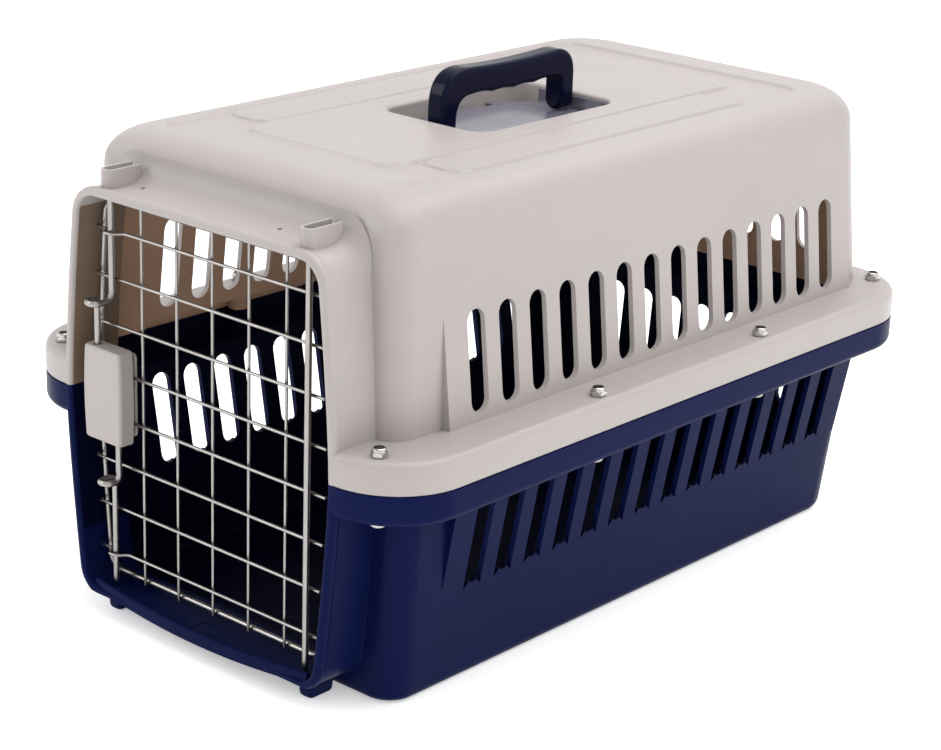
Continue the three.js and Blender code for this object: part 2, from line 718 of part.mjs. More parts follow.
function buildHousing() {
  const { x0, x1, y0, y1, z0, z1 } = HOUSING;
  const profile = polygonShape([
    [x0, z0 + 1],
    [x0 + 0.6, z0],
    [x1 - 0.6, z0],
    [x1, z0 + 1],
    [x1 + 0.4, (z0 + z1) / 2],
    [x1, z1 - 1],
    [x1 - 0.6, z1],
    [x0 + 0.6, z1],
    [x0, z1 - 1],
    [x0 - 0.4, (z0 + z1) / 2],
  ]);
  let housing = pushAlongY(profile, y0, y1);
  const skin = 1.4;
  housing = housing.subtract(boxSolid(x0 + skin, x1 - skin, y0 + skin, y1 + 5, z0 + skin, z1 - skin));
  const hole = ROD_RADIUS + 0.6;
  housing = housing.subtract(toSolid(rodAlongZ(hole, PIN_X - LEG_OFFSET, LEG_Y, z1 - 5, z1 + 5, 8)));
  housing = housing.subtract(toSolid(rodAlongZ(hole, PIN_X + LEG_OFFSET, LEG_Y, z0 - 5, z0 + 5, 8)));
  return toGeometry(housing);
}

function buildBackPlate() {
  const { x0, x1, z0, z1 } = HOUSING;
  const y = CROSS_Y + WIRE_RADIUS + GAP;
  let plate = boxSolid(x0 + 5, x1 - 2, y, y + 1.8, z0 + 3, z1 - 3);
  for (const z of [z0 + 19, z1 - 23]) {
    plate = plate.add(toSolid(rodAlongY(1.7, PIN_X, z, HOUSING.y0 + 2, y + 1, 8)));
  }
  return toGeometry(plate);
}

// A compression spring around a latch leg, as a coil of round wire.
function buildSpring(x, z0, z1) {
  const turns = 4;
  const perTurn = 8;
  const corners = [];
  for (let i = 0; i <= turns * perTurn; i += 1) {
    const angle = (i / perTurn) * Math.PI * 2;
    const z = z0 + ((z1 - z0) * i) / (turns * perTurn);
    corners.push([x + 2.9 * Math.cos(angle), LEG_Y + 2.9 * Math.sin(angle), z]);
  }
  const path = new BentPath(corners.map(([a, b, c]) => new THREE.Vector3(a, b, c)), 0.01);
  path.points = corners.map(([a, b, c]) => new THREE.Vector3(a, b, c));
  const section = new THREE.Shape();
  section.absarc(0, 0, 0.45, 0, Math.PI * 2, false);
  return new THREE.ExtrudeGeometry(section, {
    steps: path.points.length - 1,
    extrudePath: path,
    curveSegments: 2,
  });
}

addMesh('latch_housing', buildHousing(), cream);
addMesh('latch_back_plate', buildBackPlate(), cream);
addMesh('upper_latch_rod', latchRod(-1, UPPER_LOOP_Z, PIN_CLEAR_TOP, 122), steel);
addMesh('lower_latch_rod', latchRod(1, LOWER_LOOP_Z, PIN_CLEAR_BOTTOM, 142), steel);
addMesh('upper_latch_spring', buildSpring(PIN_X - LEG_OFFSET, 136, 156), steel);
addMesh('lower_latch_spring', buildSpring(PIN_X + LEG_OFFSET, 108, 128), steel);

export default carrier;
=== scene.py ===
import math

import bmesh
import bpy
from mathutils import Matrix, Vector


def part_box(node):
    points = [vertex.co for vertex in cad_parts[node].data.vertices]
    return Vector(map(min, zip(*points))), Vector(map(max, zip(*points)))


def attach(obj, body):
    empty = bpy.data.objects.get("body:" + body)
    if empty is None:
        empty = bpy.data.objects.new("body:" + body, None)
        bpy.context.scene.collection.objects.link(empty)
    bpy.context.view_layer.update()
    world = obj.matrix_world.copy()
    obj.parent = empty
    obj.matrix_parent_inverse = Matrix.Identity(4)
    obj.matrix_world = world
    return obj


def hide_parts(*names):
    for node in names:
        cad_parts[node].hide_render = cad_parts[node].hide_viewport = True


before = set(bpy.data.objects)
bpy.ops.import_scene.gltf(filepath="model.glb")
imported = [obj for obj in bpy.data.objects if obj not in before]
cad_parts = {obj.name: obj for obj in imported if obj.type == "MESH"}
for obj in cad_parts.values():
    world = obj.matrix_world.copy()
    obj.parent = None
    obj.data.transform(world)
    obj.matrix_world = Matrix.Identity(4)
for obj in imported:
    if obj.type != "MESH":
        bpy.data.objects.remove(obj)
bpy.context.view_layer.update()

# Everything below is in millimetres until make_object turns it into metres.
MM = 0.001

# ---- sizes from the frame
def cad_box(node):
    """Lowest and highest corner of a CAD node, in millimetres."""
    low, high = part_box(node)
    return Vector(low) / MM, Vector(high) / MM


TOP_LOW, TOP_HIGH = cad_box("top_shell")
_, BASE_HIGH = cad_box("base_shell")
ROD_LOW, ROD_HIGH = cad_box("hinge_rod")
UPPER_LOW, UPPER_HIGH = cad_box("upper_latch_rod")
LOWER_LOW, LOWER_HIGH = cad_box("lower_latch_rod")
CASE_LOW, CASE_HIGH = cad_box("latch_housing")
FRAME_LOW, FRAME_HIGH = cad_box("door_frame")
NUT_LOW, _ = cad_box("nut_right_front")
PLATE_LOW, PLATE_HIGH = cad_box("recess_plate")
GRIP_LOW, GRIP_HIGH = cad_box("carry_handle")

WALL = 3.0
SEAM_Z = (TOP_LOW.z + BASE_HIGH.z) / 2
FLANGE_HALF = TOP_HIGH.x
FLANGE_FRONT = TOP_LOW.y
FLANGE_REAR = TOP_HIGH.y
FLANGE_RISE = 17.3
FLANGE_TOP = SEAM_Z + FLANGE_RISE
FLANGE_BOTTOM = SEAM_Z - FLANGE_RISE
FLANGE_RADII = (44.5, 48.0)
ROOF_Z = 271.0
CABIN_FRONT = -207.0
CABIN_REAR = 226.0
TOP_HALF = 117.5
BASE_HALF = 116.0
BASE_REAR = 209.0
CABIN_RADII = (15.0, 26.0)
SHOULDER_Z = ROOF_Z - 20

OPENING_HALF = 99.4
OPENING_NARROWING = 8.0
OPENING_TOP = 243.0
OPENING_BOTTOM = 15.0
OPENING_CORNER = 13.0
COLLAR_WALL = 4.6

VENT_COUNT = 14
VENT_PITCH = 24.4
VENT_MIDDLE = 10.8
VENT_WIDTH = 13.6
REAR_VENT_COUNT = 7
REAR_VENT_PITCH = 24.0
TOP_VENTS = (153, 208)
TOP_REAR_VENTS = (157, 206)
BASE_VENTS = (57, 110.5)
BASE_REAR_VENTS = (54, 104)
SILL_NOTCHES = (54.5, 76)
PANEL_FRONT = -172
PANEL_REAR = 195

BOSS_RADIUS = 6.0
BOLT_HOLE_RADIUS = 2.9
ROD_HOLE_RADIUS = 2.5

HANDLE_X = (GRIP_LOW.x + GRIP_HIGH.x) / 2
HANDLE_Y = (GRIP_LOW.y + GRIP_HIGH.y) / 2
PIVOT_Z = 268.0
RECESS_FLOOR = PLATE_LOW.z - 0.3
RECESS_HALF_X = 38.5
RECESS_HALF_Y = 60.0
RECESS_RADIUS = 12.0

ROD_X = (ROD_LOW.x + ROD_HIGH.x) / 2
ROD_Y = (ROD_LOW.y + ROD_HIGH.y) / 2
ROD_RADIUS = 1.8
PIN_X = -74.0


# ---- mesh tools
def make_object(name, points, faces):
    mesh = bpy.data.meshes.new(name)
    mesh.from_pydata([Vector(point) * MM for point in points], [], faces)
    obj = bpy.data.objects.new(name, mesh)
    bpy.context.scene.collection.objects.link(obj)
    face_outward(obj)
    return obj


def face_outward(obj):
    work = bmesh.new()
    work.from_mesh(obj.data)
    bmesh.ops.recalc_face_normals(work, faces=work.faces)
    work.to_mesh(obj.data)
    work.free()


def loft(name, rings):
    """A closed skin over rings that all have the same number of points."""
    count = len(rings[0])
    points = [point for ring in rings for point in ring]
    faces = [tuple(range(count))]
    for level in range(len(rings) - 1):
        low = level * count
        high = low + count
        for i in range(count):
            after = (i + 1) % count
            faces.append((low + i, low + after, high + after, high + i))
    faces.append(tuple(range((len(rings) - 1) * count, len(rings) * count)))
    return make_object(name, points, faces)


def prism(name, outline, start, end, axis):
    """An outline pushed along an axis. The outline's two numbers fill the other axes in order."""
    rings = []
    for place in (start, end):
        ring = []
        for a, b in outline:
            ring.append({"X": (place, a, b), "Y": (a, place, b), "Z": (a, b, place)}[axis])
        rings.append(ring)
    return loft(name, rings)


def join_as(name, objects):
    work = bmesh.new()
    for obj in objects:
        work.from_mesh(obj.data)
        bpy.data.objects.remove(obj)
    mesh = bpy.data.meshes.new(name)
    work.to_mesh(mesh)
    work.free()
    joined = bpy.data.objects.new(name, mesh)
    bpy.context.scene.collection.objects.link(joined)
    return joined


def apply_modifiers(obj):
    graph = bpy.context.evaluated_depsgraph_get()
    mesh = bpy.data.meshes.new_from_object(obj.evaluated_get(graph))
    obj.modifiers.clear()
    obj.data = mesh


def combine(target, tool, operation):
    modifier = target.modifiers.new("boolean", "BOOLEAN")
    modifier.operation = operation
    modifier.solver = "MANIFOLD"
    modifier.object = tool
    apply_modifiers(target)
    bpy.data.objects.remove(tool)
    return target


def add(target, tool):
    return combine(target, tool, "UNION")


def cut(target, tool):
    return combine(target, tool, "DIFFERENCE")


def keep(target, tool):
    return combine(target, tool, "INTERSECT")


def soften(obj, width, segments=2, angle=35, sharp=32):
    """Rounds hard edges, then shades the flats flat and the rounds smooth."""
    work = bmesh.new()
    work.from_mesh(obj.data)
    bmesh.ops.remove_doubles(work, verts=work.verts, dist=0.00002)
    bmesh.ops.dissolve_degenerate(work, edges=work.edges, dist=0.00002)
    flat = math.radians(0.4)
    bmesh.ops.dissolve_limit(work, angle_limit=flat, verts=work.verts, edges=work.edges)
    work.to_mesh(obj.data)
    work.free()
    if width:
        bevel = obj.modifiers.new("bevel", "BEVEL")
        bevel.width = width * MM
        bevel.segments = segments
        bevel.limit_method = "ANGLE"
        bevel.angle_limit = math.radians(angle)
        bevel.use_clamp_overlap = True
        bevel.miter_outer = "MITER_ARC"
        apply_modifiers(obj)
    finish_shading(obj, sharp)


def finish_shading(obj, sharp=32):
    obj.data.shade_smooth()
    obj.data.set_sharp_from_angle(angle=math.radians(sharp))
    weighted = obj.modifiers.new("weighted", "WEIGHTED_NORMAL")
    weighted.keep_sharp = True
    weighted.weight = 60


def paint(obj, *materials):
    obj.data.materials.clear()
    for material in materials:
        obj.data.materials.append(material)


def piece(obj, body, slot_name, material, *nodes):
    """Finishes a piece: gives it its look unless it already has several materials, hangs it on what it rides
    on, and hides the nodes it stands for. slot_name is not used.
    """
    if len(obj.data.materials) < 2:
        paint(obj, material)
    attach(obj, body)
    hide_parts(*nodes)
    return obj


# ---- outlines
def arc(cx, cy, radius, start, end, steps):
    points = []
    for k in range(steps + 1):
        angle = math.radians(start + (end - start) * k / steps)
        points.append((cx + radius * math.cos(angle), cy + radius * math.sin(angle)))
    return points


def round_rect(half, front, rear, front_radius, rear_radius, steps=14):
    points = arc(half - rear_radius, rear - rear_radius, rear_radius, 0, 90, steps)
    points += arc(-half + rear_radius, rear - rear_radius, rear_radius, 90, 180, steps)
    points += arc(-half + front_radius, front + front_radius, front_radius, 180, 270, steps)
    points += arc(half - front_radius, front + front_radius, front_radius, 270, 360, steps)
    return points


def plan_ring(half, front, rear, radii, z):
    outline = round_rect(half, front, rear, radii[0], radii[1])
    return [(x, y, z) for x, y in outline]


def obround(middle, width, low, high, steps=10):
    radius = width / 2
    points = arc(middle, high - radius, radius, 0, 180, steps)
    return points + arc(middle, low + radius, radius, 180, 360, steps)


def swallowtail(middle, width, low, high):
    """A slot with a flat top and a sill that rises to a point in its middle."""
    half = width / 2
    return [
        (middle + half, high),
        (middle - half, high),
        (middle - half, low),
        (middle, low + 6.5),
        (middle + half, low),
    ]


def opening_half(z):
    reach = abs(z - SEAM_Z) / 96
    return OPENING_HALF - OPENING_NARROWING * reach**1.4


def opening_lean(z):
    """The angle by which the opening's side leans, above or below the seam."""
    step = 0.5
    rise = opening_half(z + step) - opening_half(z - step)
    return math.atan(-rise / (2 * step))


def quarter_opening(edge_z, sign):
    """One right-hand quarter of the doorway outline with its outward normals."""
    lean = abs(opening_lean(edge_z - sign * OPENING_CORNER))
    corner_z = edge_z - sign * OPENING_CORNER * (1 - math.sin(lean))
    centre_x = opening_half(corner_z) - OPENING_CORNER * math.cos(lean)
    centre_z = edge_z - sign * OPENING_CORNER
    points = []
    side_steps = 10
    for k in range(side_steps):
        z = SEAM_Z + (corner_z - SEAM_Z) * k / side_steps
        tilt = opening_lean(z)
        points.append((opening_half(z), z, math.cos(tilt), math.sin(tilt)))
    corner_steps = 10
    for k in range(corner_steps + 1):
        angle = lean + (math.pi / 2 - lean) * k / corner_steps
        nx = math.cos(angle)
        nz = sign * math.sin(angle)
        points.append((centre_x + OPENING_CORNER * nx, centre_z + OPENING_CORNER * nz, nx, nz))
    return points


def opening_outline():
    upper = quarter_opening(OPENING_TOP, 1)
    lower = quarter_opening(OPENING_BOTTOM, -1)
    right = list(reversed(lower[1:])) + upper
    left = [(-x, z, -nx, nz) for x, z, nx, nz in reversed(right)]
    return right + left


def opening_ring(y, grow, top_extra=0.0, lowest=None):
    ring = []
    for x, z, nx, nz in opening_outline():
        swell = grow + top_extra * max(nz, 0) ** 2
        point_z = z + swell * nz
        if lowest is not None:
            point_z = max(point_z, lowest)
        ring.append((x + swell * nx, y, point_z))
    return ring


# ---- shells
def flange(name, levels, inset=0.0):
    rings = []
    for z, trim in levels:
        shift = inset + trim
        radii = (FLANGE_RADII[0] - shift, FLANGE_RADII[1] - shift)
        rings.append(
            plan_ring(FLANGE_HALF - shift, FLANGE_FRONT + shift, FLANGE_REAR - shift, radii, z)
        )
    return loft(name, rings)


def top_section(z):
    """Half width, front and rear of the upper body at a height."""
    climb = (z - FLANGE_TOP) / (SHOULDER_Z - FLANGE_TOP)
    climb = min(max(climb, 0), 1)
    half = TOP_HALF - 2.3 * climb
    front = CABIN_FRONT + 2 * climb
    rear = CABIN_REAR - 15 * climb
    if z > SHOULDER_Z:
        part = min((z - SHOULDER_Z) / (ROOF_Z - SHOULDER_Z), 1)
        bend = 1 - math.sqrt(max(1 - part * part, 0))
        half -= 19 * bend
        front += 22 * bend
        rear -= 17 * bend
    return half, front, rear


def top_body(name, inset):
    heights = [FLANGE_TOP - WALL - 0.6, FLANGE_TOP, 175, 200, 225, SHOULDER_Z]
    fillet_steps = 10
    for k in range(1, fillet_steps + 1):
        heights.append(SHOULDER_Z + (ROOF_Z - SHOULDER_Z) * math.sin(math.pi / 2 * k / fillet_steps))
    rings = []
    for z in heights:
        half, front, rear = top_section(z)
        level = z if inset == 0 else FLANGE_TOP - WALL - 1 + (z - heights[0]) * (
            (ROOF_Z - inset - FLANGE_TOP + WALL + 1) / (ROOF_Z - heights[0])
        )
        rings.append(plan_ring(half - inset, front + inset, rear - inset, CABIN_RADII, level))
    return loft(name, rings)


def side_wedges(low_x, low_z, high_x, high_z, inset=0):
    """The vent panels that stand out from the two side walls."""
    inner = 100
    front = PANEL_FRONT + inset
    rear = PANEL_REAR - inset
    outline = [(low_x, low_z), (inner, low_z), (inner, high_z), (high_x, high_z)]
    right = prism("wedge_right", outline, front, rear, "Y")
    left = prism("wedge_left", [(-x, z) for x, z in outline], front, rear, "Y")
    return join_as("wedges", [right, left])


def vent_places(count, pitch, middle):
    return [middle + (i - (count - 1) / 2) * pitch for i in range(count)]


def side_slots(shape, low, high, start=None):
    """One cutter for all the side slots. With a start, it cuts only the skin beyond that width."""
    reach = FLANGE_HALF + 9
    spans = [(-reach, reach)] if start is None else [(-reach, -start), (start, reach)]
    slots = []
    for y in vent_places(VENT_COUNT, VENT_PITCH, VENT_MIDDLE):
        for near, far in spans:
            slots.append(prism("slot", shape(y, VENT_WIDTH, low, high), near, far, "X"))
    return join_as("slots", slots)


def rear_slots(low, high):
    slots = []
    for x in vent_places(REAR_VENT_COUNT, REAR_VENT_PITCH, 0):
        outline = obround(x, VENT_WIDTH, low, high)
        slots.append(prism("slot", outline, 170, FLANGE_REAR + 9, "Y"))
    return join_as("slots", slots)


def bolt_places():
    places = []
    for side in ("left", "right"):
        for spot in ("front", "mid_front", "mid_rear", "rear"):
            low, high = cad_box(f"nut_{side}_{spot}")
            middle = (low + high) / 2
            places.append((f"{side}_{spot}", middle.x, middle.y))
    return places


def flange_bolts():
    return [(x, y) for _, x, y in bolt_places()]


def upright_rods(radius, places, low, high):
    rods = []
    for x, y in places:
        rods.append(prism("rod", arc(x, y, radius, 0, 345, 23), low, high, "Z"))
    return join_as("rods", rods)


def collar(low_z, high_z, lowest):
    """The frame round the doorway, with a bead at its front and a hollow fillet at its root."""
    profile = [
        (FLANGE_FRONT, 2.6, 0),
        (FLANGE_FRONT + 0.25, 3.7, 0),
        (FLANGE_FRONT + 1.0, 4.7, 0),
        (FLANGE_FRONT + 2.2, 5.2, 0),
        (FLANGE_FRONT + 4.0, 5.3, 0),
        (FLANGE_FRONT + 5.2, 5.0, 0),
        (FLANGE_FRONT + 6.2, COLLAR_WALL, 0),
        (FLANGE_FRONT + 8.5, COLLAR_WALL, 0),
    ]
    fillet = 14.0
    start = CABIN_FRONT + 1.5 - fillet
    for k in range(9):
        angle = math.pi / 2 * k / 8
        y = start + fillet * math.sin(angle)
        profile.append((y, COLLAR_WALL + 1.6 * (1 - math.cos(angle)), fillet * (1 - math.cos(angle))))
    profile.append((CABIN_FRONT + 4, COLLAR_WALL, fillet - 1))
    rings = [opening_ring(y, grow, extra, lowest) for y, grow, extra in profile]
    body = loft("collar", rings)
    reach = FLANGE_HALF
    outline = [(-reach, low_z), (reach, low_z), (reach, high_z), (-reach, high_z)]
    return keep(body, prism("slab", outline, FLANGE_FRONT - 5, CABIN_FRONT + 20, "Y"))


def opening_cutter():
    profile = [
        (FLANGE_FRONT - 8, 2.2),
        (FLANGE_FRONT - 0.05, 2.2),
        (FLANGE_FRONT + 0.25, 1.2),
        (FLANGE_FRONT + 0.9, 0.45),
        (FLANGE_FRONT + 2.2, 0.0),
        (CABIN_FRONT + WALL + 10, 0.0),
    ]
    return loft("opening", [opening_ring(y, grow) for y, grow in profile])


def smooth_step(value):
    value = min(max(value, 0), 1)
    return value * value * (3 - 2 * value)


def rect_mask(x, y, x0, x1, y0, y1, radius, edge):
    """1 inside a rounded rectangle, 0 outside, with a soft edge of that width."""
    dx = abs(x - (x0 + x1) / 2) - ((x1 - x0) / 2 - radius)
    dy = abs(y - (y0 + y1) / 2) - ((y1 - y0) / 2 - radius)
    outside = math.hypot(max(dx, 0), max(dy, 0)) + min(max(dx, dy), 0) - radius
    return smooth_step(0.5 - outside / edge)


FIELD = (-92, 92, -179, 173)
PANEL = (-56, 56, -150, 152)
BAND_LEFT = (-88, -58, -132, 122)
BAND_RIGHT = (58, 88, -132, 122)
STANDING = ((PANEL, 13), (BAND_LEFT, 11), (BAND_RIGHT, 11))


def roof_sink(x, y):
    """How far the roof is sunk, from 0 to 1: a shallow field with a panel and two bands left standing."""
    field = rect_mask(x, y, *FIELD, 14, 3.2)
    front_fade = smooth_step((y + 178) / 34) if abs(x) < 84 else 1
    side_fade = smooth_step((abs(x) - 62) / 22)
    fade = max(front_fade, side_fade * 0.85)
    standing = max(rect_mask(x, y, *place, radius, 2.4) for place, radius in STANDING)
    return field * fade * (1 - standing)


def graded(edges, low, high, coarse, fine, reach):
    """Grid lines from low to high, close together near the given edges."""
    places = []
    place = low
    while place < high:
        places.append(place)
        near = min(abs(place - edge) for edge in edges)
        place += fine if near < reach else coarse
    places.append(high)
    return places


def roof_cutter():
    """A block whose underside follows the roof's shallow embossing."""
    xs = graded((-92, -88, -58, -56, 56, 58, 88, 92), -99, 99, 5.0, 0.75, 5)
    ys = graded((-179, -150, -132, 122, 152, 173), -186, 180, 6.0, 0.9, 5)
    depth = 2.0
    rest = ROOF_Z + 0.2
    points = [(x, y, rest - depth * roof_sink(x, y)) for y in ys for x in xs]
    row = len(xs)
    faces = []
    for j in range(len(ys) - 1):
        for i in range(row - 1):
            a = j * row + i
            faces.append((a, a + 1, a + row + 1, a + row))
    rim = list(range(row))
    rim += [j * row + row - 1 for j in range(1, len(ys))]
    rim += [(len(ys) - 1) * row + i for i in range(row - 2, -1, -1)]
    rim += [j * row for j in range(len(ys) - 2, 0, -1)]
    first = len(points)
    points += [(points[i][0], points[i][1], ROOF_Z + 6) for i in rim]
    for k, low in enumerate(rim):
        after = (k + 1) % len(rim)
        faces.append((low, rim[after], first + after, first + k))
    faces.append(tuple(range(first, first + len(rim))))
    return make_object("roof_cutter", points, faces)


def recess_outer():
    half_y = RECESS_HALF_Y + 4.5
    outline = round_rect(RECESS_HALF_X + WALL, HANDLE_Y - half_y, HANDLE_Y + half_y, 14, 14)
    return prism("recess_outer", outline, RECESS_FLOOR - WALL, ROOF_Z - 1.8, "Z")


def recess_inner():
    """The pocket's own space. Its mouth flares a little, as a soft moulded edge."""
    rings = []
    mouth = [(RECESS_FLOOR, 0), (ROOF_Z - 2.2, 0), (ROOF_Z - 1.2, 0.25), (ROOF_Z - 0.5, 0.8)]
    mouth += [(ROOF_Z - 0.1, 1.7), (ROOF_Z + 0.4, 3.0), (ROOF_Z + 4, 3.0)]
    for z, flare in mouth:
        half_y = RECESS_HALF_Y + flare
        radius = RECESS_RADIUS + flare
        outline = round_rect(RECESS_HALF_X + flare, HANDLE_Y - half_y, HANDLE_Y + half_y, radius, radius)
        rings.append([(x, y, z) for x, y in outline])
    return loft("recess_inner", rings)


def rod_guard(x):
    """A U-shaped wall, open to the rear, round a hole in the collar's top."""
    outer = 4.8
    inner = 3.2
    rear = -209.0
    outline = [(x + outer, rear), (x + inner, rear)]
    outline += arc(x, ROD_Y, inner, 0, -180, 14)
    outline += [(x - inner, rear), (x - outer, rear)]
    outline += arc(x, ROD_Y, outer, 180, 360, 18)
    low = OPENING_TOP + COLLAR_WALL - 1.2
    return prism("guard", outline, low, low + 11.6, "Z")


def depth_inside(x, y, half, front, rear, radii):
    """How deep a point lies inside a rounded plan, less than 0 outside it."""
    middle = (front + rear) / 2
    radius = radii[1] if y > middle else radii[0]
    dx = abs(x) - (half - radius)
    dy = abs(y - middle) - ((rear - front) / 2 - radius)
    return radius - math.hypot(max(dx, 0), max(dy, 0)) - min(max(dx, dy), 0)


def is_beside_panel(point):
    return PANEL_FRONT + 2.5 < point.y < PANEL_REAR - 2.5


def is_in_tunnel(point):
    """True on the faces between the doorway's front edge and the body's front wall, which get the tunnel's
    painted shade.
    """
    edge = min(max(point.z, SEAM_Z - 85), OPENING_TOP)
    side = max(abs(point.x) - opening_half(edge) + OPENING_CORNER, 0)
    rise = max(point.z - OPENING_TOP + OPENING_CORNER, 0)
    deep = FLANGE_FRONT + 1.8 < point.y < CABIN_FRONT + WALL + 2
    return deep and math.hypot(side, rise) < OPENING_CORNER + 0.6


def is_inside_top(point):
    """True for a point on the upper shell's inner skin, which gets the painted shade of the inside."""
    in_recess = (
        abs(point.x) < RECESS_HALF_X + 2.8
        and abs(point.y - HANDLE_Y) < RECESS_HALF_Y + 4.3
        and point.z > RECESS_FLOOR - 0.5
    )
    if in_recess or point.z > ROOF_Z - 2.7:
        return False
    half, front, rear = top_section(point.z)
    if VENT_WEDGE_LOW - 4 < point.z < VENT_WEDGE_HIGH and is_beside_panel(point):
        half += 5.6 * (VENT_WEDGE_HIGH - point.z) / (VENT_WEDGE_HIGH - VENT_WEDGE_LOW)
    if point.z < FLANGE_TOP - WALL + 0.1:
        depth = depth_inside(point.x, point.y, FLANGE_HALF, FLANGE_FRONT, FLANGE_REAR, FLANGE_RADII)
        return depth > WALL - 0.4
    return depth_inside(point.x, point.y, half, front, rear, CABIN_RADII) > WALL - 0.7


VENT_WEDGE_LOW = FLANGE_TOP - 1.2
VENT_WEDGE_HIGH = 213.0


def paint_inside_shade(shell, skin, inside_shade, tunnel_shade, is_inside, counts):
    """Gives a shell's inner skin and the tunnel behind its doorway darker, duller materials: painted shade
    that stands in for the dim light inside.
    """
    paint(shell, skin, inside_shade, tunnel_shade)
    points = [vertex.co / MM for vertex in shell.data.vertices]
    inner = [is_inside(point) for point in points]
    behind = [is_in_tunnel(point) and counts(point) for point in points]
    # Faces wholly on the inner skin get the inside's painted shade, and tunnel faces get the tunnel's painted
    # shade.
    for face in shell.data.polygons:
        if all(inner[i] for i in face.vertices):
            face.material_index = 1
        elif all(behind[i] for i in face.vertices):
            face.material_index = 2


def build_top_shell(skin, inside_shade, tunnel_shade):
    low = TOP_LOW.z
    ledge = FLANGE_TOP - WALL
    edge = [(low, 0.5), (low + 0.5, 0), (FLANGE_TOP - 4.2, 0), (FLANGE_TOP - 2.4, 0.5)]
    edge += [(FLANGE_TOP - 1.0, 1.5), (FLANGE_TOP - 0.25, 2.7), (FLANGE_TOP, 4.2)]
    shell = flange("upper_shell", edge)
    cut(shell, flange("hollow", [(low - 1, 0), (ledge, 0.8)], WALL))
    add(shell, top_body("body", 0))
    wedge_x = TOP_HALF + 5.6
    add(shell, side_wedges(wedge_x, VENT_WEDGE_LOW, TOP_HALF - 1.9, VENT_WEDGE_HIGH))
    cut(shell, top_body("cavity", WALL))
    inner_x = wedge_x - WALL
    cut(shell, side_wedges(inner_x, VENT_WEDGE_LOW - 3, TOP_HALF - 4.9, VENT_WEDGE_HIGH, WALL))
    throat = round_rect(TOP_HALF - WALL, CABIN_FRONT + WALL, CABIN_REAR - WALL, *CABIN_RADII)
    cut(shell, prism("throat", throat, low - 1, FLANGE_TOP + 1, "Z"))
    add(shell, upright_rods(BOSS_RADIUS, flange_bolts(), low, ledge + 1))
    add(shell, collar(low, ROOF_Z, None))
    add(shell, rod_guard(PIN_X))
    add(shell, rod_guard(ROD_X))
    cut(shell, opening_cutter())
    add(shell, recess_outer())
    cut(shell, recess_inner())
    cut(shell, roof_cutter())
    cut(shell, side_slots(obround, *TOP_VENTS))
    cut(shell, rear_slots(*TOP_REAR_VENTS))
    cut(shell, upright_rods(BOLT_HOLE_RADIUS, flange_bolts(), 140, 156))
    rods = [(PIN_X, ROD_Y), (ROD_X, ROD_Y)]
    cut(shell, upright_rods(ROD_HOLE_RADIUS, rods, 236, 252))
    dimples = [(-60, -217), (44, -217)]
    cut(shell, upright_rods(1.3, dimples, OPENING_TOP + 2, 256))
    soften(shell, 0.55)
    # The inner skin and the tunnel are painted dark brown: painted shade.
    paint_inside_shade(shell, skin, inside_shade, tunnel_shade, is_inside_top, lambda point: True)
    return shell


def base_section(z):
    climb = z / (FLANGE_BOTTOM + WALL)
    half = BASE_HALF + 9.6 * climb
    front = CABIN_FRONT + 2.5 * (1 - climb)
    rear = BASE_REAR + 9.6 * climb
    return half, front, rear


def base_body(name, inset):
    foot = inset
    levels = [(0, 5.0), (0.5, 2.9), (1.6, 1.3), (3.2, 0.4), (5.5, 0)]
    levels += [(z, 0) for z in (35, 70, 100, FLANGE_BOTTOM + WALL + 0.6)]
    rings = []
    for z, trim in levels:
        half, front, rear = base_section(z)
        shift = inset + trim
        lift = foot * (1 - z / 117.7) if z and inset else 0
        place = (half - shift, front + shift, rear - shift)
        rings.append(plan_ring(*place, CABIN_RADII, max(z, foot) + lift))
    return loft(name, rings)


def is_inside_base(point):
    """True for a point on the lower shell's inner skin, which gets the painted shade of the inside."""
    if point.z > FLANGE_BOTTOM + WALL - 0.5:
        depth = depth_inside(point.x, point.y, FLANGE_HALF, FLANGE_FRONT, FLANGE_REAR, FLANGE_RADII)
        return depth > WALL - 0.4 and point.y > CABIN_FRONT
    half, front, rear = base_section(point.z)
    if point.z > 50 and is_beside_panel(point):
        half += 4 + (point.z - 54) * 0.03
    depth = depth_inside(point.x, point.y, half, front, rear, CABIN_RADII)
    return depth > WALL - 0.7 and point.z > WALL - 0.5


def threshold_lip():
    """A low rounded wall that bows forward across the doorway's foot."""
    half = 84.0
    steps = 28
    rings = []
    for k in range(steps + 1):
        x = -half + 2 * half * k / steps
        bow = (x / half) ** 2
        y = FLANGE_FRONT - 0.7 + 3.4 * bow
        top = 17.0 + 3.4 * bow
        foot = 9.5 + 4.5 * bow
        section = [(y, foot), (y - 0.1, top - 1.6), (y + 0.35, top - 0.5), (y + 1.3, top)]
        section += [(y + 2.4, top - 0.5), (y + 3.0, top - 1.8), (y + 3.2, foot + 1)]
        rings.append([(x, a, b) for a, b in section])
    return loft("lip", rings)


FOOT_X = (-78.5, 74.5)


def front_foot(x):
    rings = []
    for z, grow in ((0, -1.6), (0.5, -0.6), (1.6, 0), (14, 1.0)):
        half = 4.8 + grow
        outline = round_rect(half, -226.0 - grow, -209.0 + grow, 2.2, 2.2, 4)
        rings.append([(x + a, b, z) for a, b in outline])
    return loft("foot", rings)


